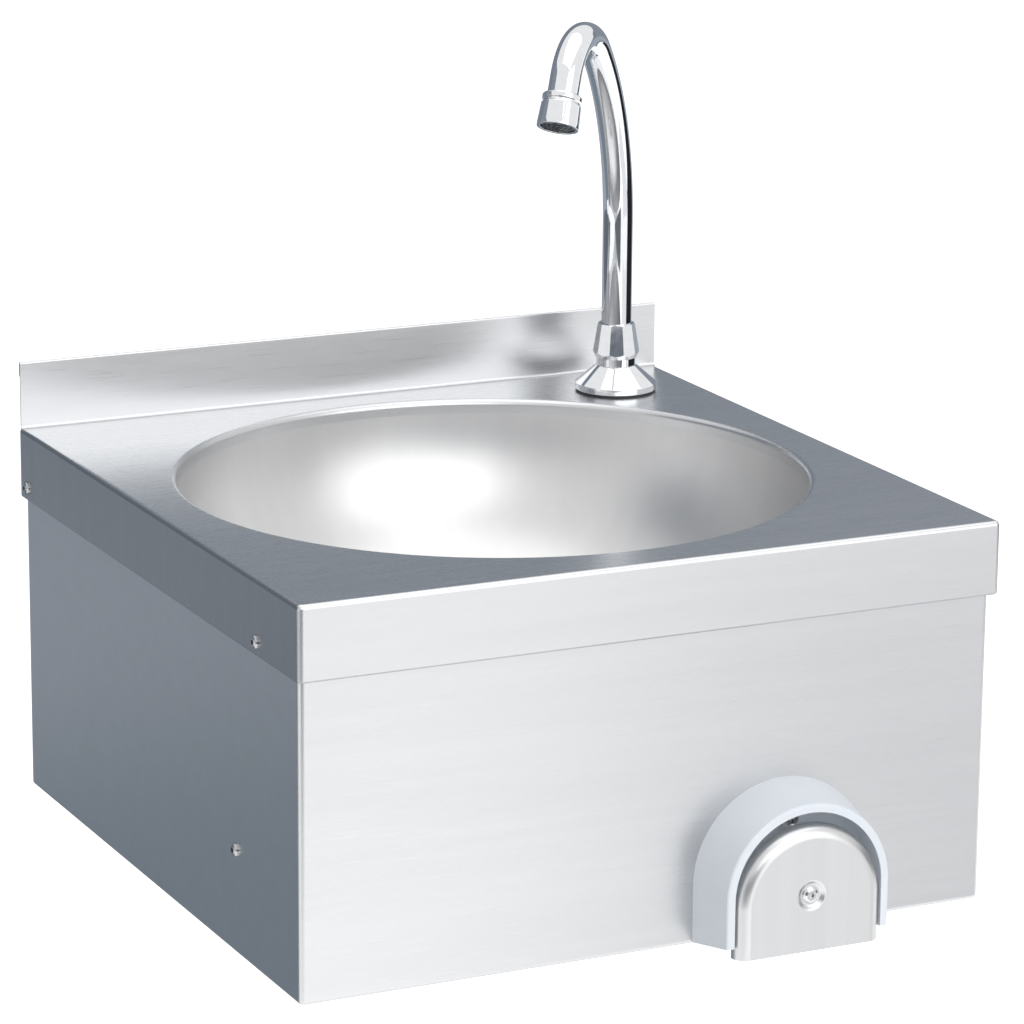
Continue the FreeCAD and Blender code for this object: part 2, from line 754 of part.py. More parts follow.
def casing_fasteners():
    """Four screws through the aprons into rivet nuts, and two through the casing into the rail."""
    outward = {-1: Rotation(Vector(0, 1, 0), -90), 1: Rotation(Vector(0, 1, 0), 90)}
    rows = ("-top_depth + apron_screw_front", "-apron_screw_back")
    apron_screw = domed_screw("apron_screw", "screw_shank", "apron_screw_length", "screw_head",
                              "screw_dome", "screw_socket")
    copies("apron_screws", apron_screw, [(f"{side} * half_width", y, "screw_level", outward[side])
                                         for side in (-1, 1) for y in rows])
    rivet_nut = turned("rivet_nut", [
        ("screw_shank + thread_play", "-rivet_length + rivet_flange"),
        ("rivet_barrel", "-rivet_length + rivet_flange"),
        ("rivet_barrel", "-gauge - 2 * rivet_bulge_length"),
        ("rivet_bulge", "-gauge - rivet_bulge_length"),
        ("rivet_bulge", "-gauge"),
        ("rivet_barrel", "-gauge"),
        ("rivet_barrel", "0"),
        ("rivet_flange_radius", "0"),
        ("rivet_flange_radius", "rivet_flange"),
        ("screw_shank + thread_play", "rivet_flange"),
    ])
    copies("rivet_nuts", rivet_nut, [(f"{side} * casing_side", y, "screw_level", outward[side])
                                     for side in (-1, 1) for y in rows])
    rail_screw = domed_screw("rail_screw", "screw_shank", "rail_screw_length", "screw_head",
                             "screw_dome", "screw_socket")
    copies("rail_screws", rail_screw, [(f"{side} * casing_side", "rail_screw_y", "rail_screw_z",
                                        outward[side]) for side in (-1, 1)])
    nut = hex_nut("rail_nut", "small_nut_flats", "small_nut", "screw_shank + thread_play")
    copies("rail_nuts", nut, [(f"{side} * (rail_side - rail_thickness)", "rail_screw_y", "rail_screw_z",
                               outward[-side]) for side in (-1, 1)])


def valve_rail():
    """Cross rail that carries the knee valve, its ends folded back along the casing's sides."""
    body = new_body("valve_rail")
    edge, inner = "rail_side", "rail_side - rail_thickness"
    plan = outline(new_sketch(body, "XY", "rail_level"), [
        (f"-({edge})", "rail_y + rail_tab"),
        (f"-({edge})", "rail_y + rail_bend", "rail_bend", 1),
        (f"-({edge}) + rail_bend", "rail_y"),
        (f"{edge} - rail_bend", "rail_y", "rail_bend", 1),
        (edge, "rail_y + rail_bend"),
        (edge, "rail_y + rail_tab"),
        (inner, "rail_y + rail_tab"),
        (inner, "rail_y + rail_bend", "rail_bend - rail_thickness", -1),
        (f"{edge} - rail_bend", "rail_back"),
        (f"-({edge}) + rail_bend", "rail_back", "rail_bend - rail_thickness", -1),
        (f"-({inner})", "rail_y + rail_bend"),
        (f"-({inner})", "rail_y + rail_tab"),
    ])
    extrude(body, "Pad", plan, "rail_height")
    nose = circles(new_sketch(body, "XZ", "-rail_y"), "nose + fitting_play", [("knee_x", "knee_z")])
    extrude(body, "Pocket", nose, "4 * rail_thickness", both=True)
    tabs = circles(new_sketch(body, "YZ"), "screw_shank + screw_play", [("rail_screw_y", "rail_screw_z")])
    extrude(body, "Pocket", tabs)
    return node(body, "valve_rail")


# ---------------------------------------------------------------- waste fitting
def waste():
    """Strainer drawn down by one screw into the waste body, with a gasket on each side of the bowl."""
    centre = ("0", "bowl_y", "0")
    rim = "seat_level + waste_gasket"
    node(ring("upper_waste_gasket", "drain_hole + waste_gap", "waste_gasket_radius", "seat_level", rim,
              centre), "upper_waste_gasket")
    node(ring("lower_waste_gasket", "drain_hole + waste_gap", "waste_gasket_radius", "waste_top",
              "seat_under", centre), "lower_waste_gasket")
    strainer = turned("drain_strainer", [
        ("0", "cup_bottom"),
        ("strainer_cup", "cup_bottom"),
        ("strainer_cup", rim),
        ("strainer_radius", rim),
        ("strainer_radius", f"{rim} + strainer_thickness * 0.5"),
        ("strainer_radius - strainer_thickness", f"{rim} + strainer_thickness"),
        ("strainer_cup - strainer_thickness", f"{rim} + strainer_thickness"),
        ("strainer_cup - strainer_thickness", "cup_bottom + strainer_thickness"),
        ("0", "cup_bottom + strainer_thickness"),
    ], centre)
    for radius, count in (("inner_slots", 6), ("outer_slots", 12)):
        spots = [(f"{radius} * cos({360 * k / count})", f"{radius} * sin({360 * k / count})")
                 for k in range(count)]
        extrude(strainer, "Pocket", circles(new_sketch(strainer, "XY"), "strainer_slot", spots))
    middle = circles(new_sketch(strainer, "XY"), "waste_screw + screw_play", [("0", "0")])
    extrude(strainer, "Pocket", middle)
    node(strainer, "drain_strainer")

    bore_top = "boss_top - waste_boss_length - waste_land"
    body = turned("waste_body", [
        ("strainer_cup + waste_gap", "waste_top"),
        ("waste_flange", "waste_top"),
        ("waste_flange", "waste_top - waste_flange_thickness"),
        ("strainer_cup + waste_wall", "waste_top - waste_flange_thickness - waste_throat"),
        ("strainer_cup + waste_wall", f"{bore_top} - waste_land"),
        ("waste_thread", f"{bore_top} - waste_land - waste_cone"),
        ("waste_thread", "outlet_level"),
        ("waste_bore", "outlet_level"),
        ("waste_bore", f"{bore_top} - waste_funnel"),
        ("strainer_cup + waste_gap", bore_top),
    ], centre)
    boss = circles(new_sketch(body, "XY", "boss_top"), "waste_boss", [("0", "0")])
    extrude(body, "Pad", boss, "waste_boss_length", backwards=True)
    for turn in (0, 60, 120):
        reach = "(strainer_cup + waste_gap + gauge)"
        along, across = (math.cos(math.radians(turn)), math.sin(math.radians(turn)))
        arm = outline(new_sketch(body, "XY", "boss_top - waste_arm"), [
            (f"{a * along} * {reach} - {b * across} * waste_arm / 2",
             f"{a * across} * {reach} + {b * along} * waste_arm / 2")
            for a, b in ((-1, -1), (1, -1), (1, 1), (-1, 1))])
        extrude(body, "Pad", arm, "waste_boss_length - waste_arm", backwards=True)
    hole = circles(new_sketch(body, "XY", "boss_top"), "waste_screw + thread_play", [("0", "0")])
    extrude(body, "Pocket", hole)
    node(body, "waste_body")
    screw = crossed_screw("strainer_screw", "waste_screw", "waste_screw_length", "waste_screw_head",
                          "pad_screw_dome")
    place(screw, ("0", "bowl_y", "cup_bottom + strainer_thickness"))
    node(screw, "strainer_screw")


# ---------------------------------------------------------------- tap
def above(text):
    """A height above the worktop's top face."""
    return f"top_level + {text}"


def tap():
    """Swivelling spout: base cone, body, collar nut, seals, clamped through the worktop from below."""
    at = ("tap_x", "tap_y", "0")
    node(ring("tap_gasket", "tap_hole", "tap_base - tap_base_chamfer", "top_level", above("tap_gasket"), at),
         "tap_gasket")
    node(turned("tap_base", [
        ("tap_hole", above("tap_gasket")),
        ("tap_base - tap_base_chamfer", above("tap_gasket")),
        ("tap_base", above("tap_gasket + tap_base_chamfer")),
        ("tap_base", above("tap_band - tap_base_chamfer")),
        ("tap_base - tap_base_chamfer", above("tap_band")),
        ("tap_cone_neck + small_chamfer", above("tap_cone - small_chamfer")),
        ("tap_cone_neck", above("tap_cone")),
        ("tap_hole", above("tap_cone")),
    ], at), "tap_base")
    node(turned("tap_body", [
        ("tap_waterway", "body_bottom"),
        ("tap_thread - thread_chamfer", "body_bottom"),
        ("tap_thread", "body_bottom + thread_chamfer"),
        ("tap_thread", above("tap_cone")),
        ("tap_neck", above("tap_cone")),
        ("tap_neck", above("tap_neck_top")),
        ("tap_nut_thread", above("tap_neck_top")),
        ("tap_nut_thread", above("tap_body_top")),
        ("spigot + running_play", above("tap_body_top")),
        ("spigot + running_play", above("tap_socket_floor")),
        ("tap_waterway", above("tap_socket_floor")),
    ], at), "tap_body")
    collar_nut(at)
    node(ring("slip_ring", "spout_radius + 4 * running_play", "tap_nut_thread - 4 * running_play",
              "foot_top + running_play", "slip_top + running_play", at), "slip_ring")
    washer_top = "under_top - tap_washer"
    node(ring("tap_rubber_washer", "tap_hole", "tap_washer_radius", washer_top, "under_top", at),
         "tap_rubber_washer")
    plate = f"({washer_top}) - tap_plate"
    node(ring("tap_steel_washer", "tap_hole", "tap_washer_radius - gauge", plate, washer_top, at),
         "tap_steel_washer")
    node(hex_nut("tap_backnut", "tap_backnut_flats", "tap_backnut", "tap_thread + thread_play",
                 ("tap_x", "tap_y", f"{plate} - tap_backnut")), "tap_backnut")


def collar_nut(at):
    """Ten-sided tapered nut, chamfered so that its facets end in arches at the foot."""
    low, high = above("tap_neck_top"), above("tap_nut_top")
    rings = []
    for corner, level in (("tap_nut_corner_low", low), ("tap_nut_corner_high", high)):
        shape = doc.addObject("Part::RegularPolygon", "collar_ring")
        bind(shape, "Polygon", "tap_nut_sides")
        bind(shape, "Circumradius", corner)
        rings.append(place(shape, ("0", "0", level), Rotation(Vector(0, 0, 1), size("tap_nut_turn"))))
    facets = doc.addObject("Part::Loft", "collar_facets")
    facets.Sections = rings
    facets.Solid = True
    facets.Ruled = True
    envelope = turned("collar_envelope", [
        ("tap_nut_thread + thread_play", low),
        ("tap_nut_foot", low),
        ("tap_nut_corner_low", f"{low} + tap_nut_chamfer"),
        ("tap_nut_corner_low", f"{high} - tap_nut_bevel"),
        ("tap_nut_corner_high - small_chamfer", high),
        ("spout_radius + 2 * running_play", high),
        ("spout_radius + 2 * running_play", "slip_top + 2 * running_play"),
        ("tap_nut_thread + thread_play", "slip_top + 2 * running_play"),
    ])
    nut = doc.addObject("Part::Common", "collar_nut")
    nut.Base = facets
    nut.Tool = envelope
    return node(place(nut, at), "collar_nut")


def spout():
    """Bent tube with its foot, O-rings and aerator. It turns about the tap's upright axis."""
    at = ("tap_x", "tap_y", "0")
    groove = "spigot - ring_groove"
    levels = [above("tap_socket_floor + ring_low"), above("tap_socket_floor + ring_high")]
    profile = [("spigot - 2 * ring_groove", above("tap_socket_floor + overrun")),
               ("spigot", above("tap_socket_floor + overrun"))]
    for level in levels:
        low, high = f"({level}) - ring_groove_width / 2", f"({level}) + ring_groove_width / 2"
        profile += [("spigot", low), (groove, low), (groove, high), ("spigot", high)]
    profile += [
        ("spigot", "foot_bottom"),
        ("foot_flange_radius", "foot_bottom"),
        ("foot_flange_radius", "foot_top"),
        ("spout_bore - running_play", "foot_top"),
        ("spout_bore - running_play", "tube_bottom + foot_plug"),
        ("spigot - 2 * ring_groove", "tube_bottom + foot_plug"),
    ]
    node(turned("spout_foot", profile, at), "spout_foot")
    o_ring = doc.addObject("Part::Torus", "spout_o_ring")
    bind(o_ring, "Radius1", "spigot - ring_groove / 2")
    bind(o_ring, "Radius2", "ring_groove / 2 - seal_play")
    copies("spout_o_rings", o_ring, [("tap_x", "tap_y", level, Rotation()) for level in levels])

    start, steps, tangent = spout_route()
    tube = doc.addObject("Part::Feature", "spout_tube")
    outer, inner = (bent_rod(start, steps, size(radius)) for radius in ("spout_radius", "spout_bore"))
    tube.Shape = outer.cut(inner)
    node(tube, "spout_tube")
    aerator(steps[-1][-1], tangent)


def spout_route():
    """The tube's centre line: straight up, a wide bend, a tight crook and a straight end."""
    azimuth = math.radians(size("spout_azimuth"))
    lean = Vector(math.cos(azimuth), math.sin(azimuth), 0)
    base = Vector(size("tap_x"), size("tap_y"), 0)
    up = Vector(0, 0, 1)

    def along(angle):
        return lean * math.sin(angle) + up * math.cos(angle)

    def inward(angle):
        return lean * math.cos(angle) - up * math.sin(angle)

    start = base + up * size("tube_bottom")
    here = base + up * size(above("spout_straight"))
    steps = [(here,)]
    turn = 0.0
    for radius, bend in (("spout_bend", "spout_bend_turn"), ("spout_crook", "spout_crook_turn")):
        reach = size(radius)
        centre = here + inward(turn) * reach
        half = math.radians(size(bend)) / 2
        here = centre - inward(turn + 2 * half) * reach
        steps.append((centre - inward(turn + half) * reach, here))
        turn += 2 * half
    steps.append((here + along(turn) * size("spout_end"),))
    return start, steps, along(turn)


def bent_rod(start, steps, radius):
    """A round rod from start. Each step is (end,) for a straight run or (crown, end) for a bend."""
    pieces = []
    here = start
    for step in steps:
        if len(step) == 1:
            pieces.append(Part.makeCylinder(radius, (step[0] - here).Length, here, step[0] - here))
        else:
            edge = Part.Arc(here, *step).toShape()
            centre, way = edge.Curve.Center, edge.tangentAt(edge.FirstParameter)
            axis = way.cross(centre - here).normalize()
            turn = math.degrees(edge.Length / edge.Curve.Radius)
            pieces.append(Part.Face(round_face(here, way, radius)).revolve(centre, axis, turn))
        here = step[-1]
    return pieces[0].fuse(pieces[1:]).removeSplitter()


def round_face(centre, normal, radius):
    return Part.Wire(Part.Circle(centre, normal, radius).toShape())


def swept(path, profile):
    return path.makePipeShell([profile], True, False)


def aerator(end, direction):
    """Housing screwed on the tube's end, with a sealing washer and a mesh insert inside."""
    turn = Rotation(Vector(0, 0, 1), direction)
    bore = "aerator_radius - aerator_wall"
    mouth = "aerator_length - aerator_sleeve"

    def seat(item, name):
        item.Placement = FreeCAD.Placement(end, turn)
        return node(item, name)

    seat(turned("aerator_housing", [
        ("spout_radius + running_play", "-aerator_sleeve"),
        ("aerator_radius - aerator_groove", "-aerator_sleeve"),
        ("aerator_radius", "-aerator_sleeve + aerator_groove"),
        ("aerator_radius", "-aerator_groove"),
        ("aerator_radius - aerator_groove", "0"),
        ("aerator_radius - aerator_groove", "aerator_groove"),
        ("aerator_radius", "2 * aerator_groove"),
        ("aerator_mouth", f"{mouth} - tap_base_chamfer - aerator_lip"),
        ("aerator_mouth", f"{mouth} - tap_base_chamfer"),
        ("aerator_mouth - tap_base_chamfer", mouth),
        (bore, mouth),
        (bore, "0"),
        ("spout_radius + running_play", "0"),
    ]), "aerator_housing")
    core = f"{bore} - 2 * running_play"
    seat(ring("aerator_washer", "spout_bore - aerator_wall", core, "0", "aerator_washer"), "aerator_washer")
    insert = turned("aerator_insert", [
        ("0", "aerator_washer"),
        (core, "aerator_washer"),
        (core, "aerator_washer + aerator_core"),
        ("0", "aerator_washer + aerator_core"),
    ])
    spots = [("0", "0")]
    for number in range(1, int(size("mesh_rings")) + 1):
        count = 6 * number
        spots += [(f"{number} * mesh_pitch * cos({360 * k / count})",
                   f"{number} * mesh_pitch * sin({360 * k / count})") for k in range(count)]
    extrude(insert, "Pocket", circles(new_sketch(insert, "XY"), "mesh_hole", spots))
    seat(insert, "aerator_insert")


# ---------------------------------------------------------------- knee push
def arch(radius, rise, foot):
    """A round-topped outline about the knee axis, straight down to a foot."""
    left, right = f"knee_x - ({radius})", f"knee_x + ({radius})"
    spring = f"knee_z + ({rise})"
    return [(left, foot), (right, foot), (right, spring, radius, 1),
            ("knee_x", f"{spring} + ({radius})", radius, 1), (left, spring)]


def knee_guard():
    """Moulded arch round the pad, drafted, with a back plate, a hub and three screw bosses."""
    body = new_body("knee_guard")
    deep = "casing_level - guard_spare"
    loft = body.newObject("PartDesign::AdditiveLoft", "guard_shell")
    root = outline(new_sketch(body, "XZ", "-casing_front"), arch("guard_root", "guard_root_rise", deep))
    lip = outline(new_sketch(body, "XZ", "-guard_front"), arch("guard_lip", "guard_lip_rise", deep))
    loft.Profile = root
    loft.Sections = [lip]
    loft.Ruled = True
    doc.recompute()
    front, low = size("guard_front"), size(deep)
    fillet(body, "guard_round", lambda edge: abs(edge.BoundBox.YMin - front) < 0.01
           and abs(edge.BoundBox.YMax - front) < 0.01 and edge.BoundBox.ZMax > low + 1)
    hollow = body.newObject("PartDesign::SubtractiveLoft", "guard_hollow")
    root_in = outline(new_sketch(body, "XZ", "-casing_front + guard_plate"),
                      arch(inside_radius("guard_plate"), inside_rise("guard_plate"), f"{deep} - overrun"))
    lip_in = outline(new_sketch(body, "XZ", "-guard_front + overrun"),
                     arch(inside_radius("guard_depth + overrun"),
                          inside_rise("guard_depth + overrun"), f"{deep} - overrun"))
    hollow.Profile = root_in
    hollow.Sections = [lip_in]
    hollow.Ruled = True
    doc.recompute()
    foot = outline(new_sketch(body, "YZ"), [
        ("casing_front + overrun", f"{deep} - overrun"),
        ("casing_front + overrun", "guard_level"),
        ("casing_front", "guard_level"),
        ("guard_front", "guard_level + guard_foot_lift"),
        ("guard_front - overrun", "guard_level + guard_foot_lift"),
        ("guard_front - overrun", f"{deep} - overrun"),
    ])
    extrude(body, "Pocket", foot)
    hub = circles(new_sketch(body, "XZ", "-casing_front"), "guard_hub", [("knee_x", "knee_z")])
    extrude(body, "Pad", hub, "guard_hub_length")
    bosses = circles(new_sketch(body, "XZ", "-casing_front"), "guard_boss_radius", guard_screw_spots())
    extrude(body, "Pad", bosses, "guard_boss")
    for radius, spots in (("bush_radius + thread_play", [("knee_x", "knee_z")]),
                          ("guard_screw + screw_play", guard_screw_spots())):
        holes = circles(new_sketch(body, "XZ", "-casing_front"), radius, spots)
        extrude(body, "Pocket", holes)
    return node(body, "knee_guard")


def inside_radius(depth):
    """Inner radius of the guard at a depth in front of the casing."""
    return f"guard_root - guard_wall - (guard_root - guard_lip) * ({depth}) / guard_depth"


def inside_rise(depth):
    return f"guard_root_rise - (guard_root_rise - guard_lip_rise) * ({depth}) / guard_depth"


def pad_block(name, inset, foot):
    """Round-topped block with its front edges rounded, drawn in by an inset on the front and sides."""
    body = new_body(name)
    face = f"pad_front + {inset}"
    corners = arch(f"pad_half_width - {inset}", "-pad_arc_drop", foot)
    block = outline(new_sketch(body, "XZ", f"-({face})"), corners)
    extrude(body, "Pad", block, f"pad_depth - {inset}", backwards=True)
    front, low = size(face), size(foot)

    def front_edge(edge):
        box = edge.BoundBox
        return abs(box.YMax - front) < 0.01 and box.ZMax > low + 1

    fillet(body, f"pad_edge - {inset}", front_edge)
    return body


def knee_pad():
    """Round-topped dish of sheet, edges turned in on three sides, dimpled for its screw."""
    shell = doc.addObject("Part::Cut", "pad_shell")
    shell.Base = pad_block("pad_outside", "0", "pad_foot")
    shell.Tool = pad_block("pad_inside", "gauge", "pad_foot - gauge")
    hole = doc.addObject("Part::Cylinder", "pad_hole")
    bind(hole, "Radius", "dimple_radius")
    bind(hole, "Height", "4 * gauge")
    place(hole, ("knee_x", "pad_front - gauge", "knee_z"), ALONG["y"])
    holed = doc.addObject("Part::Cut", "pad_holed")
    holed.Base = shell
    holed.Tool = hole
    dish = new_body("pad_dimple")
    spin(dish, "Revolution", outline(new_sketch(dish, "XZ"), [
        ("dimple_radius", "0"),
        ("dimple_floor", "-dimple_depth"),
        ("pad_screw + screw_play", "-dimple_depth"),
        ("pad_screw + screw_play", "-dimple_depth - gauge"),
        ("dimple_floor - screw_play", "-dimple_depth - gauge"),
        ("dimple_radius", "-gauge"),
    ]))
    place(dish, ("knee_x", "pad_front", "knee_z"), Rotation(Vector(1, 0, 0), 90))
    pad = doc.addObject("Part::Fuse", "knee_pad")
    pad.Base = holed
    pad.Tool = dish
    pad.Refine = True
    return node(pad, "knee_pad")


def knee_parts():
    """Everything on the knee axis, from the pad's screw to the stop collar."""
    front = Rotation(Vector(1, 0, 0), 90)
    screw = domed_screw("pad_screw", "pad_screw", "pad_screw_length", "pad_screw_head", "pad_screw_dome",
                        "screw_socket")
    node(place(screw, ("knee_x", "pad_front + dimple_depth", "knee_z"), front), "pad_screw")
    guard_screw = crossed_screw("guard_screw", "guard_screw", "guard_screw_length", "guard_screw_head",
                                "guard_screw_dome")
    copies("guard_screws", guard_screw, [(x, "casing_front - guard_boss", z, front)
                                         for x, z in guard_screw_spots()])
    nut = hex_nut("guard_nut", "small_nut_flats", "small_nut", "guard_screw + thread_play")
    copies("guard_nuts", nut, [(x, "casing_front + gauge + small_nut", z, front)
                               for x, z in guard_screw_spots()])
    at = ("knee_x", "0", "knee_z")
    hub_front = "casing_front - guard_hub_length"
    node(turned("spindle_bush", [
        ("spindle + running_play", "casing_front + bush_tail"),
        ("spindle + running_play", f"{hub_front} - bush_flange_thickness"),
        ("bush_flange - small_chamfer", f"{hub_front} - bush_flange_thickness"),
        ("bush_flange", f"{hub_front} - bush_flange_thickness + small_chamfer"),
        ("bush_flange", hub_front),
        ("bush_radius", hub_front),
        ("bush_radius", "casing_front + bush_tail"),
    ], at, "y"), "spindle_bush")
    node(turned("push_spindle", [
        ("0", "dimple_back + pad_screw_length"),
        ("pad_screw + thread_play", "dimple_back + pad_screw_length"),
        ("pad_screw + thread_play", "dimple_back"),
        ("spindle", "dimple_back"),
        ("spindle", "poppet_front - poppet_seal"),
        ("spindle_neck", "poppet_front - poppet_seal"),
        ("spindle_neck", "poppet_back + poppet_nut + spindle_end"),
        ("0", "poppet_back + poppet_nut + spindle_end"),
    ], at, "y"), "push_spindle")
    collar = ring("stop_collar", "spindle + running_play", "stop_collar_radius", "collar_back - stop_collar",
                  "collar_back", at, "y")
    node(collar, "stop_collar")


def valve():
    """Brass push valve: gland, seat and sprung poppet, clamped in the rail by a lock nut."""
    at = ("knee_x", "0", "knee_z")
    gland = "nose_front + nose_length / 2"
    barrel = "rail_back + valve_collar"
    body = turned("valve_turning", [
        ("spindle + running_play", "nose_front"),
        ("nose - thread_chamfer", "nose_front"),
        ("nose", "nose_front + thread_chamfer"),
        ("nose", "rail_back"),
        ("valve_barrel", "rail_back"),
        ("valve_barrel", "valve_end"),
        ("back_chamber + thread_play", "valve_end"),
        ("back_chamber + thread_play", "valve_seat"),
        ("seat_hole", "valve_seat"),
        ("seat_hole", "rail_y + valve_face"),
        ("front_chamber", "rail_y + valve_face"),
        ("front_chamber", "rail_back + valve_collar"),
        ("spindle + running_play", "rail_back + valve_collar"),
        ("spindle + running_play", f"{gland} + gland_width / 2"),
        ("spindle + gland_groove", f"{gland} + gland_width / 2"),
        ("spindle + gland_groove", f"{gland} - gland_width / 2"),
        ("spindle + running_play", f"{gland} - gland_width / 2"),
    ], at, "y")
    hexagon = new_body("valve_hexagon")
    corner = "valve_flats / 2 / cos(30)"
    extrude(hexagon, "Pad", outline(new_sketch(hexagon, "XY"), polygon(6, corner)), "valve_collar")
    extrude(hexagon, "Pocket", circles(new_sketch(hexagon, "XY"), "nose - overrun", [("0", "0")]))
    place(hexagon, ("knee_x", "rail_back", "knee_z"), ALONG["y"])
    outlet = turned("valve_outlet", [
        ("pipe_radius", "front_chamber - 2 * overrun"),
        ("tap_thread", "front_chamber - 2 * overrun"),
        ("tap_thread", "outlet_reach - thread_chamfer"),
        ("tap_thread - thread_chamfer", "outlet_reach"),
        ("pipe_radius", "outlet_reach"),
    ], ("knee_x", "outlet_y", "knee_z"), "x")
    outside = doc.addObject("Part::MultiFuse", "valve_outside")
    outside.Shapes = [body, hexagon, outlet]
    chamber = doc.addObject("Part::Cylinder", "valve_chamber")
    bind(chamber, "Radius", "front_chamber")
    bind(chamber, "Height", "valve_face - rail_thickness - valve_collar")
    place(chamber, ("knee_x", barrel, "knee_z"), ALONG["y"])
    port = doc.addObject("Part::Cylinder", "valve_port")
    bind(port, "Radius", "pipe_radius")
    bind(port, "Height", "outlet_reach")
    place(port, ("knee_x", "outlet_y", "knee_z"), ALONG["x"])
    hollow = doc.addObject("Part::MultiFuse", "valve_hollow")
    hollow.Shapes = [chamber, port]
    whole = doc.addObject("Part::Cut", "valve_whole")
    whole.Base = outside
    whole.Tool = hollow
    whole.Refine = True
    node(whole, "valve_body")

    node(ring("lock_washer", "nose + fitting_play", "lock_washer_radius", "rail_y - lock_washer", "rail_y",
              at, "y"), "lock_washer")
    node(hex_nut("lock_nut", "lock_nut_flats", "lock_nut", "nose + thread_play",
                 ("knee_x", "rail_y - lock_washer - lock_nut", "knee_z"), "y"), "lock_nut")
    seal = doc.addObject("Part::Torus", "spindle_seal")
    bind(seal, "Radius1", "spindle + (gland_groove + running_play) / 2")
    bind(seal, "Radius2", "(gland_groove - running_play) / 2 - seal_play")
    place(seal, ("knee_x", gland, "knee_z"), ALONG["y"])
    node(seal, "spindle_seal")
    fit = "spindle_neck + running_play"
    node(ring("poppet_seal", fit, "poppet_seal_radius", "poppet_front - poppet_seal", "poppet_front",
              at, "y"), "poppet_seal")
    node(ring("poppet", fit, "poppet_radius", "poppet_front", "poppet_back", at, "y"), "poppet")
    node(hex_nut("poppet_nut", "poppet_nut_flats", "poppet_nut", fit,
                 ("knee_x", "poppet_back", "knee_z"), "y"), "poppet_nut")
    return_spring()


def biarc(start, start_way, end, end_way):
    """Two arcs that leave start and reach end along the given unit tangents."""
    chord = end - start
    ways = start_way + end_way
    spread = 2 * (1 - start_way.dot(end_way))
    reach = (math.sqrt(chord.dot(ways) ** 2 + spread * chord.dot(chord)) - chord.dot(ways)) / spread
    first, second = start + start_way * reach, end - end_way * reach
    joint = (first + second) / 2
    edges = []
    for low, corner, high in ((start, first, joint), (joint, second, end)):
        middle = (low + high) / 2
        half = (high - low).Length / 2
        rise = (corner - middle).Length
        turn = math.atan2(rise, half)
        crown = middle + (corner - middle) * (math.tan(turn / 2) / math.tan(turn))
        edges.append(Part.Arc(low, crown, high).toShape())
    return edges


def return_spring():
    """Compression spring behind the poppet: a helix of biarcs, with its ends square to the faces."""
    start, end = size("poppet_back"), size("spring_end")
    wire, mean = size("spring_wire"), size("spring_mean")
    turns = int(size("spring_turns"))
    slack = size("spring_slack")
    low, high = start + wire + slack, end - wire - slack
    axis = Vector(size("knee_x"), 0, size("knee_z"))
    count = 4 * turns
    pitch = (high - low) / turns

    def point(step):
        angle = math.pi / 2 * step
        return axis + Vector(mean * math.cos(angle), low + pitch * step / 4, mean * math.sin(angle))

    def way(step):
        angle = math.pi / 2 * step
        return Vector(-mean * math.sin(angle), pitch / (2 * math.pi), mean * math.cos(angle)).normalize()

    edges = []
    for step in range(count):
        edges += biarc(point(step), way(step), point(step + 1), way(step + 1))
    spring = doc.addObject("Part::Feature", "return_spring")
    spring.Shape = swept(Part.Wire(edges), round_face(point(0), way(0), wire))
    return node(spring, "return_spring")


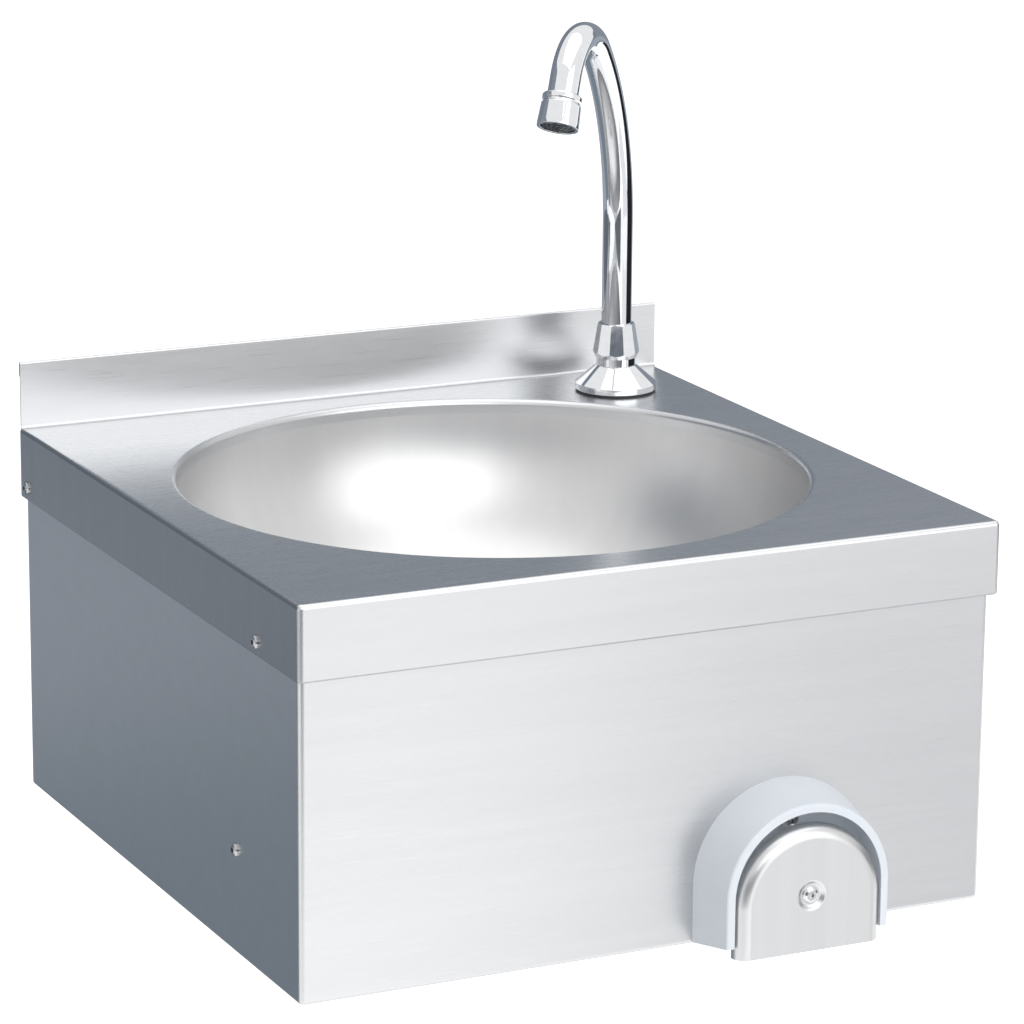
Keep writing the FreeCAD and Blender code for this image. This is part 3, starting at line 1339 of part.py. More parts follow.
def manifold():
    """Two threaded inlets joined behind the valve, each with a non-return cartridge."""
    spigot_body = turned("manifold_spigot", [
        ("spigot_bore", "spring_end"),
        ("back_chamber", "spring_end"),
        ("back_chamber", "valve_end + manifold_gasket"),
        ("valve_barrel", "valve_end + manifold_gasket"),
        ("valve_barrel", "manifold_y"),
        ("spigot_bore", "manifold_y"),
    ], ("knee_x", "0", "knee_z"), "y")
    log = doc.addObject("Part::Cylinder", "manifold_log")
    bind(log, "Radius", "manifold_radius")
    bind(log, "Height", "inlet_spacing + 2 * manifold_end")
    place(log, ("knee_x - inlet_spacing / 2 - manifold_end", "manifold_y", "knee_z"), ALONG["x"])
    ports, bores = [], []
    for side in (-1, 1):
        x = f"knee_x + {side} * inlet_spacing / 2"
        port = turned("inlet_port", [
            ("0", "inlet_level"),
            ("inlet_thread - thread_chamfer", "inlet_level"),
            ("inlet_thread", "inlet_level + thread_chamfer"),
            ("inlet_thread", "knee_z - manifold_radius - inlet_shoulder_drop"),
            ("inlet_shoulder", "knee_z - manifold_radius - inlet_shoulder_drop"),
            ("inlet_shoulder", "knee_z"),
            ("0", "knee_z"),
        ], (x, "manifold_y", "0"))
        ports.append(port)
        bore = doc.addObject("Part::Cylinder", "inlet_bore")
        bind(bore, "Radius", "inlet_bore")
        bind(bore, "Height", "knee_z - inlet_level")
        bores.append(place(bore, (x, "manifold_y", "inlet_level")))
    core = doc.addObject("Part::Cylinder", "manifold_core")
    bind(core, "Radius", "manifold_bore")
    bind(core, "Height", "inlet_spacing")
    bores.append(place(core, ("knee_x - inlet_spacing / 2", "manifold_y", "knee_z"), ALONG["x"]))
    way = doc.addObject("Part::Cylinder", "manifold_way")
    bind(way, "Radius", "spigot_bore")
    bind(way, "Height", "manifold_y - spring_end")
    bores.append(place(way, ("knee_x", "spring_end", "knee_z"), ALONG["y"]))
    outside = doc.addObject("Part::MultiFuse", "manifold_outside")
    outside.Shapes = [spigot_body, log] + ports
    inside = doc.addObject("Part::MultiFuse", "manifold_inside")
    inside.Shapes = bores
    whole = doc.addObject("Part::Cut", "manifold")
    whole.Base = outside
    whole.Tool = inside
    whole.Refine = True
    node(whole, "inlet_manifold")
    node(ring("manifold_gasket", "back_chamber + fitting_play", "valve_barrel", "valve_end",
              "valve_end + manifold_gasket", ("knee_x", "0", "knee_z"), "y"), "manifold_gasket")
    cartridge = turned("cartridge", [
        ("cartridge_mouth", "0"),
        ("inlet_bore - thread_play", "0"),
        ("inlet_bore - thread_play", "cartridge_length"),
        ("cartridge_bore", "cartridge_length"),
        ("cartridge_bore", "cartridge_floor + gauge"),
        ("cartridge_mouth", "cartridge_floor"),
    ])
    copies("non_return_cartridges", cartridge, [
        (f"knee_x + {side} * inlet_spacing / 2", "manifold_y", "inlet_level + cartridge_inset",
         Rotation()) for side in (-1, 1)])


def riser():
    """Bent pipe from the valve's side outlet back and up to the tap's tail, a union at each end."""
    start = Vector(size("pipe_start"), size("outlet_y"), size("knee_z"))
    corner = Vector(size("tap_x"), size("outlet_y"), size("knee_z"))
    heel = Vector(size("tap_x"), size("tap_y"), size("knee_z"))
    end = Vector(size("tap_x"), size("tap_y"), size("pipe_top"))
    radius = size("pipe_bend")
    steps = []
    for before, turn_point, after in ((start, corner, heel), (corner, heel, end)):
        arrive, leave = (turn_point - before).normalize(), (after - turn_point).normalize()
        steps.append((turn_point - arrive * radius,))
        steps.append((turn_point + (leave - arrive) * radius * (1 - math.sqrt(0.5)),
                      turn_point + leave * radius))
    steps.append((end,))
    outer, inner = (bent_rod(start, steps, size(r)) for r in ("pipe_radius", "pipe_radius - pipe_wall"))
    flares = []
    for at, way in ((start, Vector(1, 0, 0)), (end, Vector(0, 0, -1))):
        flares.append(Part.makeCylinder(size("pipe_flare"), size("pipe_flare_thickness"), at, way))
    pipe = doc.addObject("Part::Feature", "riser_pipe")
    pipe.Shape = outer.fuse(flares).cut(inner).removeSplitter()
    node(pipe, "riser_pipe")
    grip = "union_grip + pipe_washer + pipe_flare_thickness"
    union = hex_nut("union_nut", "union_flats", f"{grip} + union_end", "pipe_radius + fitting_play")
    counterbore = circles(new_sketch(union, "XY"), "tap_thread + thread_play", [("0", "0")])
    extrude(union, "Pocket", counterbore, grip, backwards=True)
    copies("union_nuts", union, [
        ("outlet_end - union_grip", "outlet_y", "knee_z", Rotation(Vector(0, 1, 0), 90)),
        ("tap_x", "tap_y", "body_bottom + union_grip", Rotation(Vector(1, 0, 0), 180))])
    washer = ring("union_washer", "pipe_radius", "tap_thread - pipe_wall", "0", "pipe_washer")
    copies("union_washers", washer, [
        ("outlet_end", "outlet_y", "knee_z", Rotation(Vector(0, 1, 0), 90)),
        ("tap_x", "tap_y", "body_bottom", Rotation(Vector(1, 0, 0), 180))])


worktop()
bowl()
casing()
casing_fasteners()
valve_rail()
waste()
tap()
spout()
knee_guard()
knee_pad()
knee_parts()
valve()
manifold()
riser()
doc.recompute()

# ---------------------------------------------------------------- check and write
for item in doc.Objects:
    if "Invalid" in item.State or "Error" in item.State:
        raise RuntimeError(f"{item.Name} failed: {item.State}")
os.makedirs("parts", exist_ok=True)
for item in NODES:
    shape = item.Shape
    if shape.isNull() or not shape.isValid() or not shape.Solids:
        raise RuntimeError(f"{item.Label} has no valid solid")
    shape.exportStep(f"parts/{item.Label}.step")
    print(f"{item.Label}: {len(shape.Solids)} solid(s), {shape.Volume / 1000:.2f} cm3")
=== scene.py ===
# %% [markdown]
# # A wall-hung hand wash sink, worked by the knee
#
# The sink is a square of folded stainless sheet with a round bowl pressed into it, a chrome spout
# that swivels, and a pad under the front edge that the knee pushes. Its shape comes from the packed
# CAD model. This lesson dresses that model: it sets the camera and the light, models again the
# pieces that need rounder bends and cleaner edges than CAD gave them, and gives every part a finish.
# All sizes are in metres. The wall is the plane y = 0, and the origin is between the wall bolts.

# %% Load the sink
import json
import math

import bpy
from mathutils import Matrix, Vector


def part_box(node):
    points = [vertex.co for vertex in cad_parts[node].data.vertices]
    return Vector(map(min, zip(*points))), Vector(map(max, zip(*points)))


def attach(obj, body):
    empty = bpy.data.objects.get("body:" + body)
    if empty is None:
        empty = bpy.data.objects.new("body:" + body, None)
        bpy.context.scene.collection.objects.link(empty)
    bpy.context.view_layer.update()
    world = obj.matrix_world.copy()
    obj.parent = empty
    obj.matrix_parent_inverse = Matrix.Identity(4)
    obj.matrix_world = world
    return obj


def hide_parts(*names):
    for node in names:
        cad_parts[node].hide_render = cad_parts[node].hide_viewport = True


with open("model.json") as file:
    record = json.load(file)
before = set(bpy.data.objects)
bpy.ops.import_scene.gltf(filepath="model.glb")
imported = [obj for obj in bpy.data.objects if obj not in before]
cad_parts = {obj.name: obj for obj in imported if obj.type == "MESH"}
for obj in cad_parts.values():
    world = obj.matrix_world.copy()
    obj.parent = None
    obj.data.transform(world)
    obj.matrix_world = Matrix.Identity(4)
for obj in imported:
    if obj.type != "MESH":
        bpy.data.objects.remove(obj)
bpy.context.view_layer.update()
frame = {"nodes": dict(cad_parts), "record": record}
nodes = frame["nodes"]
MM = 0.001
print("nodes in the sink:", len(nodes))

# %% [markdown]
# ## Camera
#
# The square top, the round rim and the upright edges say where the photograph's camera stood: a few
# metres away, with a long lens, so the sink's edges stay almost parallel. This camera stands there
# too. It could track a point of the sink instead, but three written angles also hold its small roll.

# %% Camera
bpy.ops.object.select_all(action="DESELECT")
bpy.ops.object.camera_add(location=(-1.050757, -2.412063, 0.734505),
                          rotation=(1.31269434, -0.00768911, -0.44564934))
camera = bpy.context.object
camera.name = "studio_camera"
camera.data.lens = 163.53
camera.data.sensor_width = 36.0
bpy.context.scene.camera = camera
bpy.context.scene.view_settings.view_transform = "Standard"
print("lens:", round(camera.data.lens, 1), "mm on a sensor", camera.data.sensor_width, "mm wide")

# %% [markdown]
# ## Studio
#
# Steel shows what stands around it, so the room matters as much as the metal. The floor is white,
# and blue-grey cards stand behind. The flat top and the left side mirror those cards, the front
# mirrors the floor and a board at its right, and most of the splashback mirrors the bowl. Three
# flags stand round the tap, as a product photographer sets them: they give the round chrome tube its
# dark streaks, and the place of each streak says at which azimuth its flag stands. The main lamp
# stands in front, because the brightest part of the bowl mirrors that way. A picture of a room could
# light the metal too, but cards can be set one by one. They show only in reflections, and cast no
# shadow.


# %% Helpers for the studio
def new_material(name):
    """A material and its node tree, with nothing in it yet."""
    material = bpy.data.materials.new(name)
    material.use_nodes = True
    material.node_tree.nodes.clear()
    return material, material.node_tree


def seen_or_mirrored(tree):
    """1 on rays from the camera and on mirrored or refracted rays, and 0 on rays that light things."""
    path = tree.nodes.new("ShaderNodeLightPath")
    mirrored = tree.nodes.new("ShaderNodeMath")
    mirrored.operation = "MAXIMUM"
    tree.links.new(path.outputs["Is Glossy Ray"], mirrored.inputs[0])
    tree.links.new(path.outputs["Is Transmission Ray"], mirrored.inputs[1])
    seen = tree.nodes.new("ShaderNodeMath")
    seen.operation = "MAXIMUM"
    tree.links.new(path.outputs["Is Camera Ray"], seen.inputs[0])
    tree.links.new(mirrored.outputs[0], seen.inputs[1])
    return seen.outputs[0]


def plain_light(name, colour):
    """A material that only glows, for cards that metal mirrors."""
    material, tree = new_material(name)
    glow = tree.nodes.new("ShaderNodeEmission")
    glow.inputs["Color"].default_value = (*colour, 1)
    out = tree.nodes.new("ShaderNodeOutputMaterial")
    tree.links.new(glow.outputs["Emission"], out.inputs["Surface"])
    return material


FLOOR_LEVEL = -0.85
RIGHT_ANGLE = math.radians(90)


def card(name, place, turn, width, height, material):
    """A flat card that metal mirrors and the camera doesn't see."""
    bpy.ops.object.select_all(action="DESELECT")
    bpy.ops.mesh.primitive_plane_add(size=1, location=place, rotation=turn)
    sheet = bpy.context.object
    sheet.name = name
    sheet.scale = (width, height, 1)
    sheet.data.materials.append(material)
    sheet.visible_camera = False
    sheet.visible_diffuse = False
    sheet.visible_shadow = False


def standing_card(name, azimuth, distance, width, low, high, material):
    """A card that stands on its edge, facing the tap from an azimuth in degrees from +X."""
    angle = math.radians(azimuth)
    place = (tap[0] + distance * math.cos(angle), tap[1] + distance * math.sin(angle), (low + high) / 2)
    card(name, place, (RIGHT_ANGLE, 0, angle + RIGHT_ANGLE), width, high - low, material)


def wall_card(name, across, behind, width, low, high, material):
    """A card that stands on its edge behind the sink, facing forwards."""
    place = (across, behind, (low + high) / 2)
    card(name, place, (RIGHT_ANGLE, 0, 0), width, high - low, material)


# %% Floor and world
FLOOR_SIZE = 60
FLOOR_WHITE = 0.92
FLOOR_GLOW = 0.64
WORLD_FILL = 0.6
floor_paint, tree = new_material("floor_paint")
paint = tree.nodes.new("ShaderNodeBsdfPrincipled")
paint.inputs["Base Color"].default_value = (FLOOR_WHITE, FLOOR_WHITE, FLOOR_WHITE, 1)
paint.inputs["Roughness"].default_value = 0.9
white = tree.nodes.new("ShaderNodeEmission")
white.inputs["Strength"].default_value = FLOOR_GLOW
both = tree.nodes.new("ShaderNodeAddShader")
share = tree.nodes.new("ShaderNodeMixShader")
out = tree.nodes.new("ShaderNodeOutputMaterial")
tree.links.new(paint.outputs[0], both.inputs[0])
tree.links.new(white.outputs[0], both.inputs[1])
tree.links.new(seen_or_mirrored(tree), share.inputs[0])
tree.links.new(paint.outputs[0], share.inputs[1])
tree.links.new(both.outputs[0], share.inputs[2])
tree.links.new(share.outputs[0], out.inputs["Surface"])

bpy.ops.object.select_all(action="DESELECT")
bpy.ops.mesh.primitive_plane_add(size=FLOOR_SIZE, location=(0, 0, FLOOR_LEVEL))
floor = bpy.context.object
floor.name = "studio_floor"
floor.data.materials.append(floor_paint)

world = bpy.data.worlds.new("studio_world")
bpy.context.scene.world = world
world.use_nodes = True
tree = world.node_tree
tree.nodes.clear()
sky = tree.nodes.new("ShaderNodeBackground")
sky.inputs["Color"].default_value = (1, 1, 1, 1)
fill = tree.nodes.new("ShaderNodeBackground")
fill.inputs["Color"].default_value = (1, 1, 1, 1)
fill.inputs["Strength"].default_value = WORLD_FILL
choice = tree.nodes.new("ShaderNodeMixShader")
out = tree.nodes.new("ShaderNodeOutputWorld")
tree.links.new(seen_or_mirrored(tree), choice.inputs[0])
tree.links.new(fill.outputs[0], choice.inputs[1])
tree.links.new(sky.outputs[0], choice.inputs[2])
tree.links.new(choice.outputs[0], out.inputs["Surface"])
print("floor level:", FLOOR_LEVEL, "world:", world.name)

# %% Cards behind the sink
tap_low, tap_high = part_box("collar_nut")
tap = ((tap_low[0] + tap_high[0]) / 2, (tap_low[1] + tap_high[1]) / 2)
print("tap axis:", [round(v, 4) for v in tap])

blue_grey = plain_light("card_blue_grey", (0.22, 0.255, 0.30))
light_blue_grey = plain_light("card_light_blue_grey", (0.275, 0.305, 0.35))
pale_grey = plain_light("card_pale_grey", (0.39, 0.43, 0.485))
low_grey = plain_light("card_low_grey", (0.22, 0.265, 0.31))
LOW_BAND = -0.62
HIGH_BAND = 0.05
WALL_TOP = 1.55
# Each card has a middle, a distance behind, a width, a foot, a head and a shade.
wall = [
    ("wall_high", 0.6, 1.6, 9.0, HIGH_BAND, WALL_TOP, blue_grey),
    ("wall_right", 2.5, 1.57, 3.0, HIGH_BAND, WALL_TOP, light_blue_grey),
    ("wall_middle", 0.6, 1.6, 9.0, LOW_BAND, HIGH_BAND, pale_grey),
    ("wall_low", 0.6, 1.6, 9.0, FLOOR_LEVEL, LOW_BAND, low_grey),
]
for one in wall:
    wall_card(*one)
card("floor_left", (-1.0, 0.85, FLOOR_LEVEL + 0.01), (0, 0, 0), 3.6, 1.5, low_grey)
print("cards behind the sink:", len(wall) + 1)

# %% Flags and boards round the tap
dark = plain_light("card_dark", (0.02, 0.022, 0.026))
dim = plain_light("card_dim", (0.15, 0.17, 0.195))
soft_grey = plain_light("card_soft_grey", (0.96, 0.965, 0.98))
# Each board has an azimuth, a distance from the tap, a width, a foot, a head and a shade.
boards = [
    ("flag_1", 149, 1.5, 2.10, -0.17, 0.12, dim),
    ("flag_2", 244, 1.5, 1.28, -0.34, 0.30, dim),
    ("flag_3", 352, 1.5, 1.75, -0.30, 0.14, dark),
    ("left_board", 158, 1.5, 1.4, 0.32, 1.20, light_blue_grey),
    ("front_right_board", 302, 1.35, 0.85, FLOOR_LEVEL, -0.10, soft_grey),
]
for one in boards:
    standing_card(*one)
print("boards round the tap:", len(boards))


# %% Lamps
def soft_lamp(name, place, aim, width, height, power):
    """A rectangular soft box turned towards a point."""
    bpy.ops.object.select_all(action="DESELECT")
    bpy.ops.object.light_add(type="AREA", location=place)
    lamp = bpy.context.object
    lamp.name = name
    lamp.data.shape = "RECTANGLE"
    lamp.data.size = width
    lamp.data.size_y = height
    lamp.data.energy = power
    way = Vector(aim) - Vector(place)
    lamp.rotation_euler = way.to_track_quat("-Z", "Y").to_euler()
    print(name, "gives", power, "W from", width, "by", height, "m")


sink_middle = (0.0, -0.2, 0.0)
soft_lamp("lamp_overhead", (0.3, -0.5, 2.6), sink_middle, width=3.0, height=3.0, power=24)
soft_lamp("lamp_front", (0.3, -3.0, 1.0), sink_middle, width=3.6, height=2.5, power=41)

# %% [markdown]
# ## Modelling helpers
#
# Most pieces of a sink are turned, bent or folded, so a few small helpers cover them. The main three
# pick edges or faces by a rule, pull a ring of edges along a profile, and finish a piece. Each piece
# could be written out point by point instead, but these steps are the ones a hand would take. A
# finished piece has its place in its mesh, smooth shading with sharp folds, and rides on a body.


# %% Selecting, pulling and settling
CLOSE = 0.01 * MM
NEAR = 0.1 * MM


def select_only(thing):
    """Selects one object and nothing else, and makes it active."""
    bpy.ops.object.select_all(action="DESELECT")
    thing.select_set(True)
    bpy.context.view_layer.objects.active = thing


def start(name):
    """Opens the newest object in edit mode with all of it selected."""
    thing = bpy.context.object
    thing.name = name
    bpy.ops.object.transform_apply(location=True, rotation=True, scale=True)
    bpy.ops.object.mode_set(mode="EDIT")
    bpy.ops.mesh.select_all(action="SELECT")
    return thing


def pick(kind, rule):
    """Selects the vertices, edges or faces whose middle passes a rule, and nothing else."""
    bpy.ops.mesh.select_mode(type=kind)
    bpy.ops.mesh.select_all(action="DESELECT")
    bpy.ops.object.mode_set(mode="OBJECT")
    mesh = bpy.context.object.data
    if kind == "VERT":
        for vertex in mesh.vertices:
            vertex.select = rule(vertex.co)
    elif kind == "EDGE":
        for edge in mesh.edges:
            ends = [mesh.vertices[index].co for index in edge.vertices]
            edge.select = rule((ends[0] + ends[1]) / 2, ends[1] - ends[0])
    else:
        for face in mesh.polygons:
            face.select = rule(face.center, face.normal)
    bpy.ops.object.mode_set(mode="EDIT")


def pull_ring(centre, was, now):
    """Extrudes the selected ring from one (radius, height) to the next, about an upright axis."""
    bpy.ops.mesh.extrude_edges_move(TRANSFORM_OT_translate={"value": (0, 0, now[1] - was[1])})
    if now[0] != was[0]:
        grow = now[0] / was[0]
        bpy.ops.transform.resize(value=(grow, grow, 1), center_override=(*centre, now[1]))


def arc(centre, radius, first, last, steps):
    """Points (radius, height) round an arc's centre, from one angle in degrees to another."""
    angles = [math.radians(first + (last - first) * k / steps) for k in range(steps + 1)]
    return [(centre[0] + radius * math.cos(a), centre[1] + radius * math.sin(a)) for a in angles]


def turn_profile(name, centre, profile, sides):
    """A surface turned round an upright axis, pulled ring by ring along (radius, height) points."""
    bpy.ops.object.select_all(action="DESELECT")
    bpy.ops.mesh.primitive_circle_add(vertices=sides, radius=profile[0][0],
                                      location=(*centre, profile[0][1]))
    thing = start(name)
    bpy.ops.mesh.select_mode(type="EDGE")
    for was, now in zip(profile, profile[1:]):
        pull_ring(centre, was, now)
    bpy.ops.object.mode_set(mode="OBJECT")
    return thing


def tidy_faces(thing, up_face=None):
    """Merges doubles and turns the faces outwards. On an open dish, a rule names a face that looks up."""
    select_only(thing)
    bpy.ops.object.mode_set(mode="EDIT")
    bpy.ops.mesh.select_all(action="SELECT")
    bpy.ops.mesh.remove_doubles(threshold=CLOSE)
    bpy.ops.mesh.normals_make_consistent(inside=False)
    bpy.ops.object.mode_set(mode="OBJECT")
    if up_face and not all(face.normal.z > 0 for face in thing.data.polygons if up_face(face.center)):
        bpy.ops.object.mode_set(mode="EDIT")
        bpy.ops.mesh.flip_normals()
        bpy.ops.object.mode_set(mode="OBJECT")


def modify(thing, kind, **settings):
    """Adds a modifier, sets it up and applies it."""
    modifier = thing.modifiers.new(kind.lower(), kind)
    for key, value in settings.items():
        setattr(modifier, key, value)
    bpy.context.view_layer.objects.active = thing
    bpy.ops.object.modifier_apply(modifier=modifier.name)


slot_of = {part["node"]: part["material_slot"] for part in frame["record"]["subparts"]}
body_of = {node: body for body, members in frame["record"]["behaviour"]["bodies"].items()
           for node in members}


def settle(thing, node, sharp=32):
    """Smooths the piece up to an angle, and lets it stand for a CAD node on that node's body."""
    select_only(thing)
    bpy.ops.object.shade_smooth_by_angle(angle=math.radians(sharp))
    modify(thing, "WEIGHTED_NORMAL", weight=60, keep_sharp=True)
    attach(thing, body_of[node])
    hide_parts(node)
    low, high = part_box(node)
    corners = [vertex.co for vertex in thing.data.vertices]
    off = [max(abs(min(c[k] for c in corners) - low[k]), abs(max(c[k] for c in corners) - high[k]))
           for k in range(3)]
    print(f"{thing.name}: {len(thing.data.polygons)} faces, off its node by",
          [round(v / MM, 2) for v in off], "mm")


# %% [markdown]
# ## Worktop
#
# One sheet makes the top: it is folded down on three sides, folded up along the wall, and its round
# hole has a rolled edge. It could be drawn flat and bent fold by fold, but a box is nearer to the
# end. Its front corners and upper edges are bevelled as the sheet bends there, a round bar cuts the
# hole, and the faces that the real sheet doesn't have are taken away. Then the free edges are pulled
# on: the hole's edge rolls down to the bowl, and the apron's edge turns in and up as a flat hem. The
# sheet gets its thickness last.

# %% Worktop: sizes
top_low, top_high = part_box("worktop")
bowl_low, bowl_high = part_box("bowl")
GAUGE = 1.0 * MM
FOLD = 2.5 * MM
CORNER = 3.0 * MM
APRON = 40.0 * MM
HEM = 14.0 * MM
SPLASH = 38.0 * MM
SPLASH_HEM = 8.0 * MM
ROLL = 3.5 * MM
LIP = 8.0 * MM
FOLD_STEPS = 5
RIM_SIDES = 192
RIM_STEPS = 8
bowl_centre = ((bowl_low[0] + bowl_high[0]) / 2, (bowl_low[1] + bowl_high[1]) / 2)
lip_radius = (bowl_high[0] - bowl_low[0]) / 2 - GAUGE
rim_radius = lip_radius + ROLL
half_width = (top_high[0] - top_low[0]) / 2
depth = -top_low[1]
top_level = top_high[2] - SPLASH
lip_level = top_level - LIP
apron_level = top_level - APRON
fold_line = -(GAUGE + FOLD)
print("top level", round(top_level, 4), "rim radius", round(rim_radius, 4))

# %% Worktop: folded box with a round hole
bpy.ops.object.select_all(action="DESELECT")
bpy.ops.mesh.primitive_cylinder_add(vertices=RIM_SIDES, radius=rim_radius, depth=4 * APRON,
                                    location=(*bowl_centre, top_level))
punch = bpy.context.object
bpy.ops.object.select_all(action="DESELECT")
turn_level = apron_level + GAUGE
box_middle = (0, (fold_line - depth) / 2, (top_level + turn_level) / 2)
bpy.ops.mesh.primitive_cube_add(size=1, location=box_middle,
                                scale=(2 * half_width, depth + fold_line, top_level - turn_level))
worktop = start("worktop_sheet")
pick("EDGE", lambda mid, way: abs(way.z) > APRON / 2 and mid.y < -depth / 2)
bpy.ops.mesh.bevel(offset=CORNER, segments=FOLD_STEPS)
pick("EDGE", lambda mid, way: mid.z > top_level - GAUGE and mid.y < fold_line - GAUGE)
bpy.ops.mesh.bevel(offset=FOLD, segments=FOLD_STEPS)
bpy.ops.object.mode_set(mode="OBJECT")
modify(worktop, "BOOLEAN", operation="DIFFERENCE", solver="EXACT", object=punch)
bpy.data.objects.remove(punch)
print("faces after the punch:", len(worktop.data.polygons))


# %% Worktop: take away what the sheet doesn't have
def from_bowl(point):
    """How far a point is from the bowl's upright axis."""
    return math.hypot(point.x - bowl_centre[0], point.y - bowl_centre[1])


bpy.ops.object.mode_set(mode="EDIT")
pick("FACE", lambda mid, normal: mid.z < turn_level + GAUGE and abs(normal.z) > 0.9
     or mid.y > fold_line - GAUGE / 2 and normal.y > 0.9
     or abs(from_bowl(mid) - rim_radius) < GAUGE and abs(normal.z) < 0.1)
bpy.ops.mesh.delete(type="FACE")

# %% Worktop: roll the rim down to the bowl
pick("EDGE", lambda mid, way: abs(from_bowl(mid) - rim_radius) < 2 * NEAR
     and mid.z > top_level - GAUGE)
rim = arc((rim_radius, top_level - ROLL), ROLL, 90, 180, RIM_STEPS) + [(lip_radius, lip_level)]
for was, now in zip(rim, rim[1:]):
    pull_ring(bowl_centre, was, now)
print("rings pulled for the rim:", len(rim) - 1)

# %% Worktop: run the side aprons back to the wall, then turn the hem in
pick("EDGE", lambda mid, way: abs(mid.y - fold_line) < CLOSE and mid.z < top_level - NEAR)
bpy.ops.mesh.extrude_edges_move(TRANSFORM_OT_translate={"value": (0, -fold_line, 0)})
pick("EDGE", lambda mid, way: mid.z < turn_level + CLOSE)
half_turn = [math.radians(30 * k) for k in range(7)]
quarter_turn = [math.radians(15 * k) for k in range(1, 7)]
hem = [(GAUGE - GAUGE * math.cos(a), GAUGE * math.sin(a)) for a in half_turn]
hem.append((2 * GAUGE, GAUGE - HEM))
for was, now in zip(hem, hem[1:]):
    bpy.ops.mesh.extrude_edges_move(TRANSFORM_OT_translate={"value": (0, 0, was[1] - now[1])})
    if now[0] > was[0]:
        narrower = (half_width - now[0]) / (half_width - was[0])
        shallower = (depth - now[0]) / (depth - was[0])
        bpy.ops.transform.resize(value=(narrower, shallower, 1), center_override=(0, 0, apron_level))
bpy.ops.object.mode_set(mode="OBJECT")
print("steps in the hem:", len(hem) - 1)

# %% Worktop: the splashback, pulled up from the fold as one strip
splash = [(fold_line, top_level)]
splash += [(fold_line + (FOLD - GAUGE) * math.sin(a), top_level + (FOLD - GAUGE) * (1 - math.cos(a)))
           for a in quarter_turn]
splash_top = top_level + SPLASH
splash += [(-GAUGE - GAUGE * math.cos(a), splash_top - GAUGE + GAUGE * math.sin(a))
           for a in half_turn]
splash.append((0, splash_top - SPLASH_HEM))
bpy.ops.object.select_all(action="DESELECT")
bpy.ops.mesh.primitive_plane_add(size=2 * half_width, location=(0, fold_line, top_level))
strip = start("splash_strip")
pick("VERT", lambda point: point.y > fold_line)
bpy.ops.mesh.delete(type="VERT")
pick("VERT", lambda point: True)
bpy.ops.transform.translate(value=(0, half_width, 0))
bpy.ops.mesh.select_mode(type="EDGE")
for was, now in zip(splash, splash[1:]):
    bpy.ops.mesh.extrude_edges_move(
        TRANSFORM_OT_translate={"value": (0, now[0] - was[0], now[1] - was[1])})
bpy.ops.object.mode_set(mode="OBJECT")
print("steps in the splashback:", len(splash) - 1)

# %% Worktop: join, thicken and settle
tidy_faces(worktop)
tidy_faces(strip)
worktop.select_set(True)
strip.select_set(True)
bpy.context.view_layer.objects.active = worktop
bpy.ops.object.join()
modify(worktop, "SOLIDIFY", thickness=GAUGE, offset=-1)
settle(worktop, "worktop")

# %% [markdown]
# ## Bowl
#
# A press draws the bowl from a round blank, so its section is two arcs that meet without a corner:
# a tighter one for the wall and a flatter one for the floor. Part of a sphere would be quicker, but
# its wall would be too slack, so a ring of edges is pulled down along that section. The step at the
# drain's seat is bevelled, because pressed sheet can't turn a sharp corner.

# %% Bowl
WALL_ARC = 115.0 * MM
WALL_TURN = 60.0
SEAT = 34.0 * MM
SEAT_SLOPE = 4.0 * MM
SEAT_DEPTH = 3.5 * MM
SEAT_ROUND = 1.2 * MM
DRAIN = 23.0 * MM
BOWL_SIDES = 160
BOWL_WALL_STEPS = 28
BOWL_FLOOR_STEPS = 14
wall_centre = lip_radius - WALL_ARC
floor_arc = WALL_ARC + wall_centre / math.cos(math.radians(WALL_TURN))
floor_height = lip_level + wall_centre * math.tan(math.radians(WALL_TURN))
section = arc((wall_centre, lip_level), WALL_ARC, 0, -WALL_TURN, BOWL_WALL_STEPS)
floor_end = math.degrees(math.acos((SEAT + SEAT_SLOPE) / floor_arc))
section += arc((0, floor_height), floor_arc, -WALL_TURN, -floor_end, BOWL_FLOOR_STEPS)[1:]
seat_level = section[-1][1] - SEAT_DEPTH
section += [(SEAT, seat_level), (DRAIN, seat_level)]
bowl = turn_profile("bowl_pressing", bowl_centre, section, BOWL_SIDES)
bpy.ops.object.mode_set(mode="EDIT")
for radius in (SEAT + SEAT_SLOPE, SEAT):
    pick("EDGE", lambda mid, way: abs(from_bowl(mid) - radius) < NEAR and abs(way.z) < CLOSE)
    bpy.ops.mesh.bevel(offset=SEAT_ROUND, segments=4)
bpy.ops.object.mode_set(mode="OBJECT")
tidy_faces(bowl, lambda mid: from_bowl(mid) < SEAT - GAUGE)
modify(bowl, "SOLIDIFY", thickness=GAUGE, offset=-1)
settle(bowl, "bowl", 45)

# %% [markdown]
# ## Spout
#
# The spout is one length of tube bent twice. A curve with a round bevel could stand for it, but it
# is modelled the way it is bent: a ring is pulled straight up, spun round the centre of the wide
# bend, spun round the centre of the tight crook, and pulled on to the aerator. The printed line
# compares the tube with its CAD node.

# %% Spout tube
TUBE = 8.75 * MM
TUBE_WALL = 1.25 * MM
TUBE_STRAIGHT = 100.0 * MM
TUBE_END = 15.0 * MM
TUBE_SIDES = 56
SPOUT_WAY = 225
# Each bend has a radius, an angle in degrees and a number of steps.
WIDE_BEND = (150.0 * MM, 46.0, 24)
CROOK = (32.0 * MM, 107.0, 40)
swing = math.radians(SPOUT_WAY)
lean = Vector((math.cos(swing), math.sin(swing), 0))
upright = Vector((0, 0, 1))
hinge = upright.cross(lean)


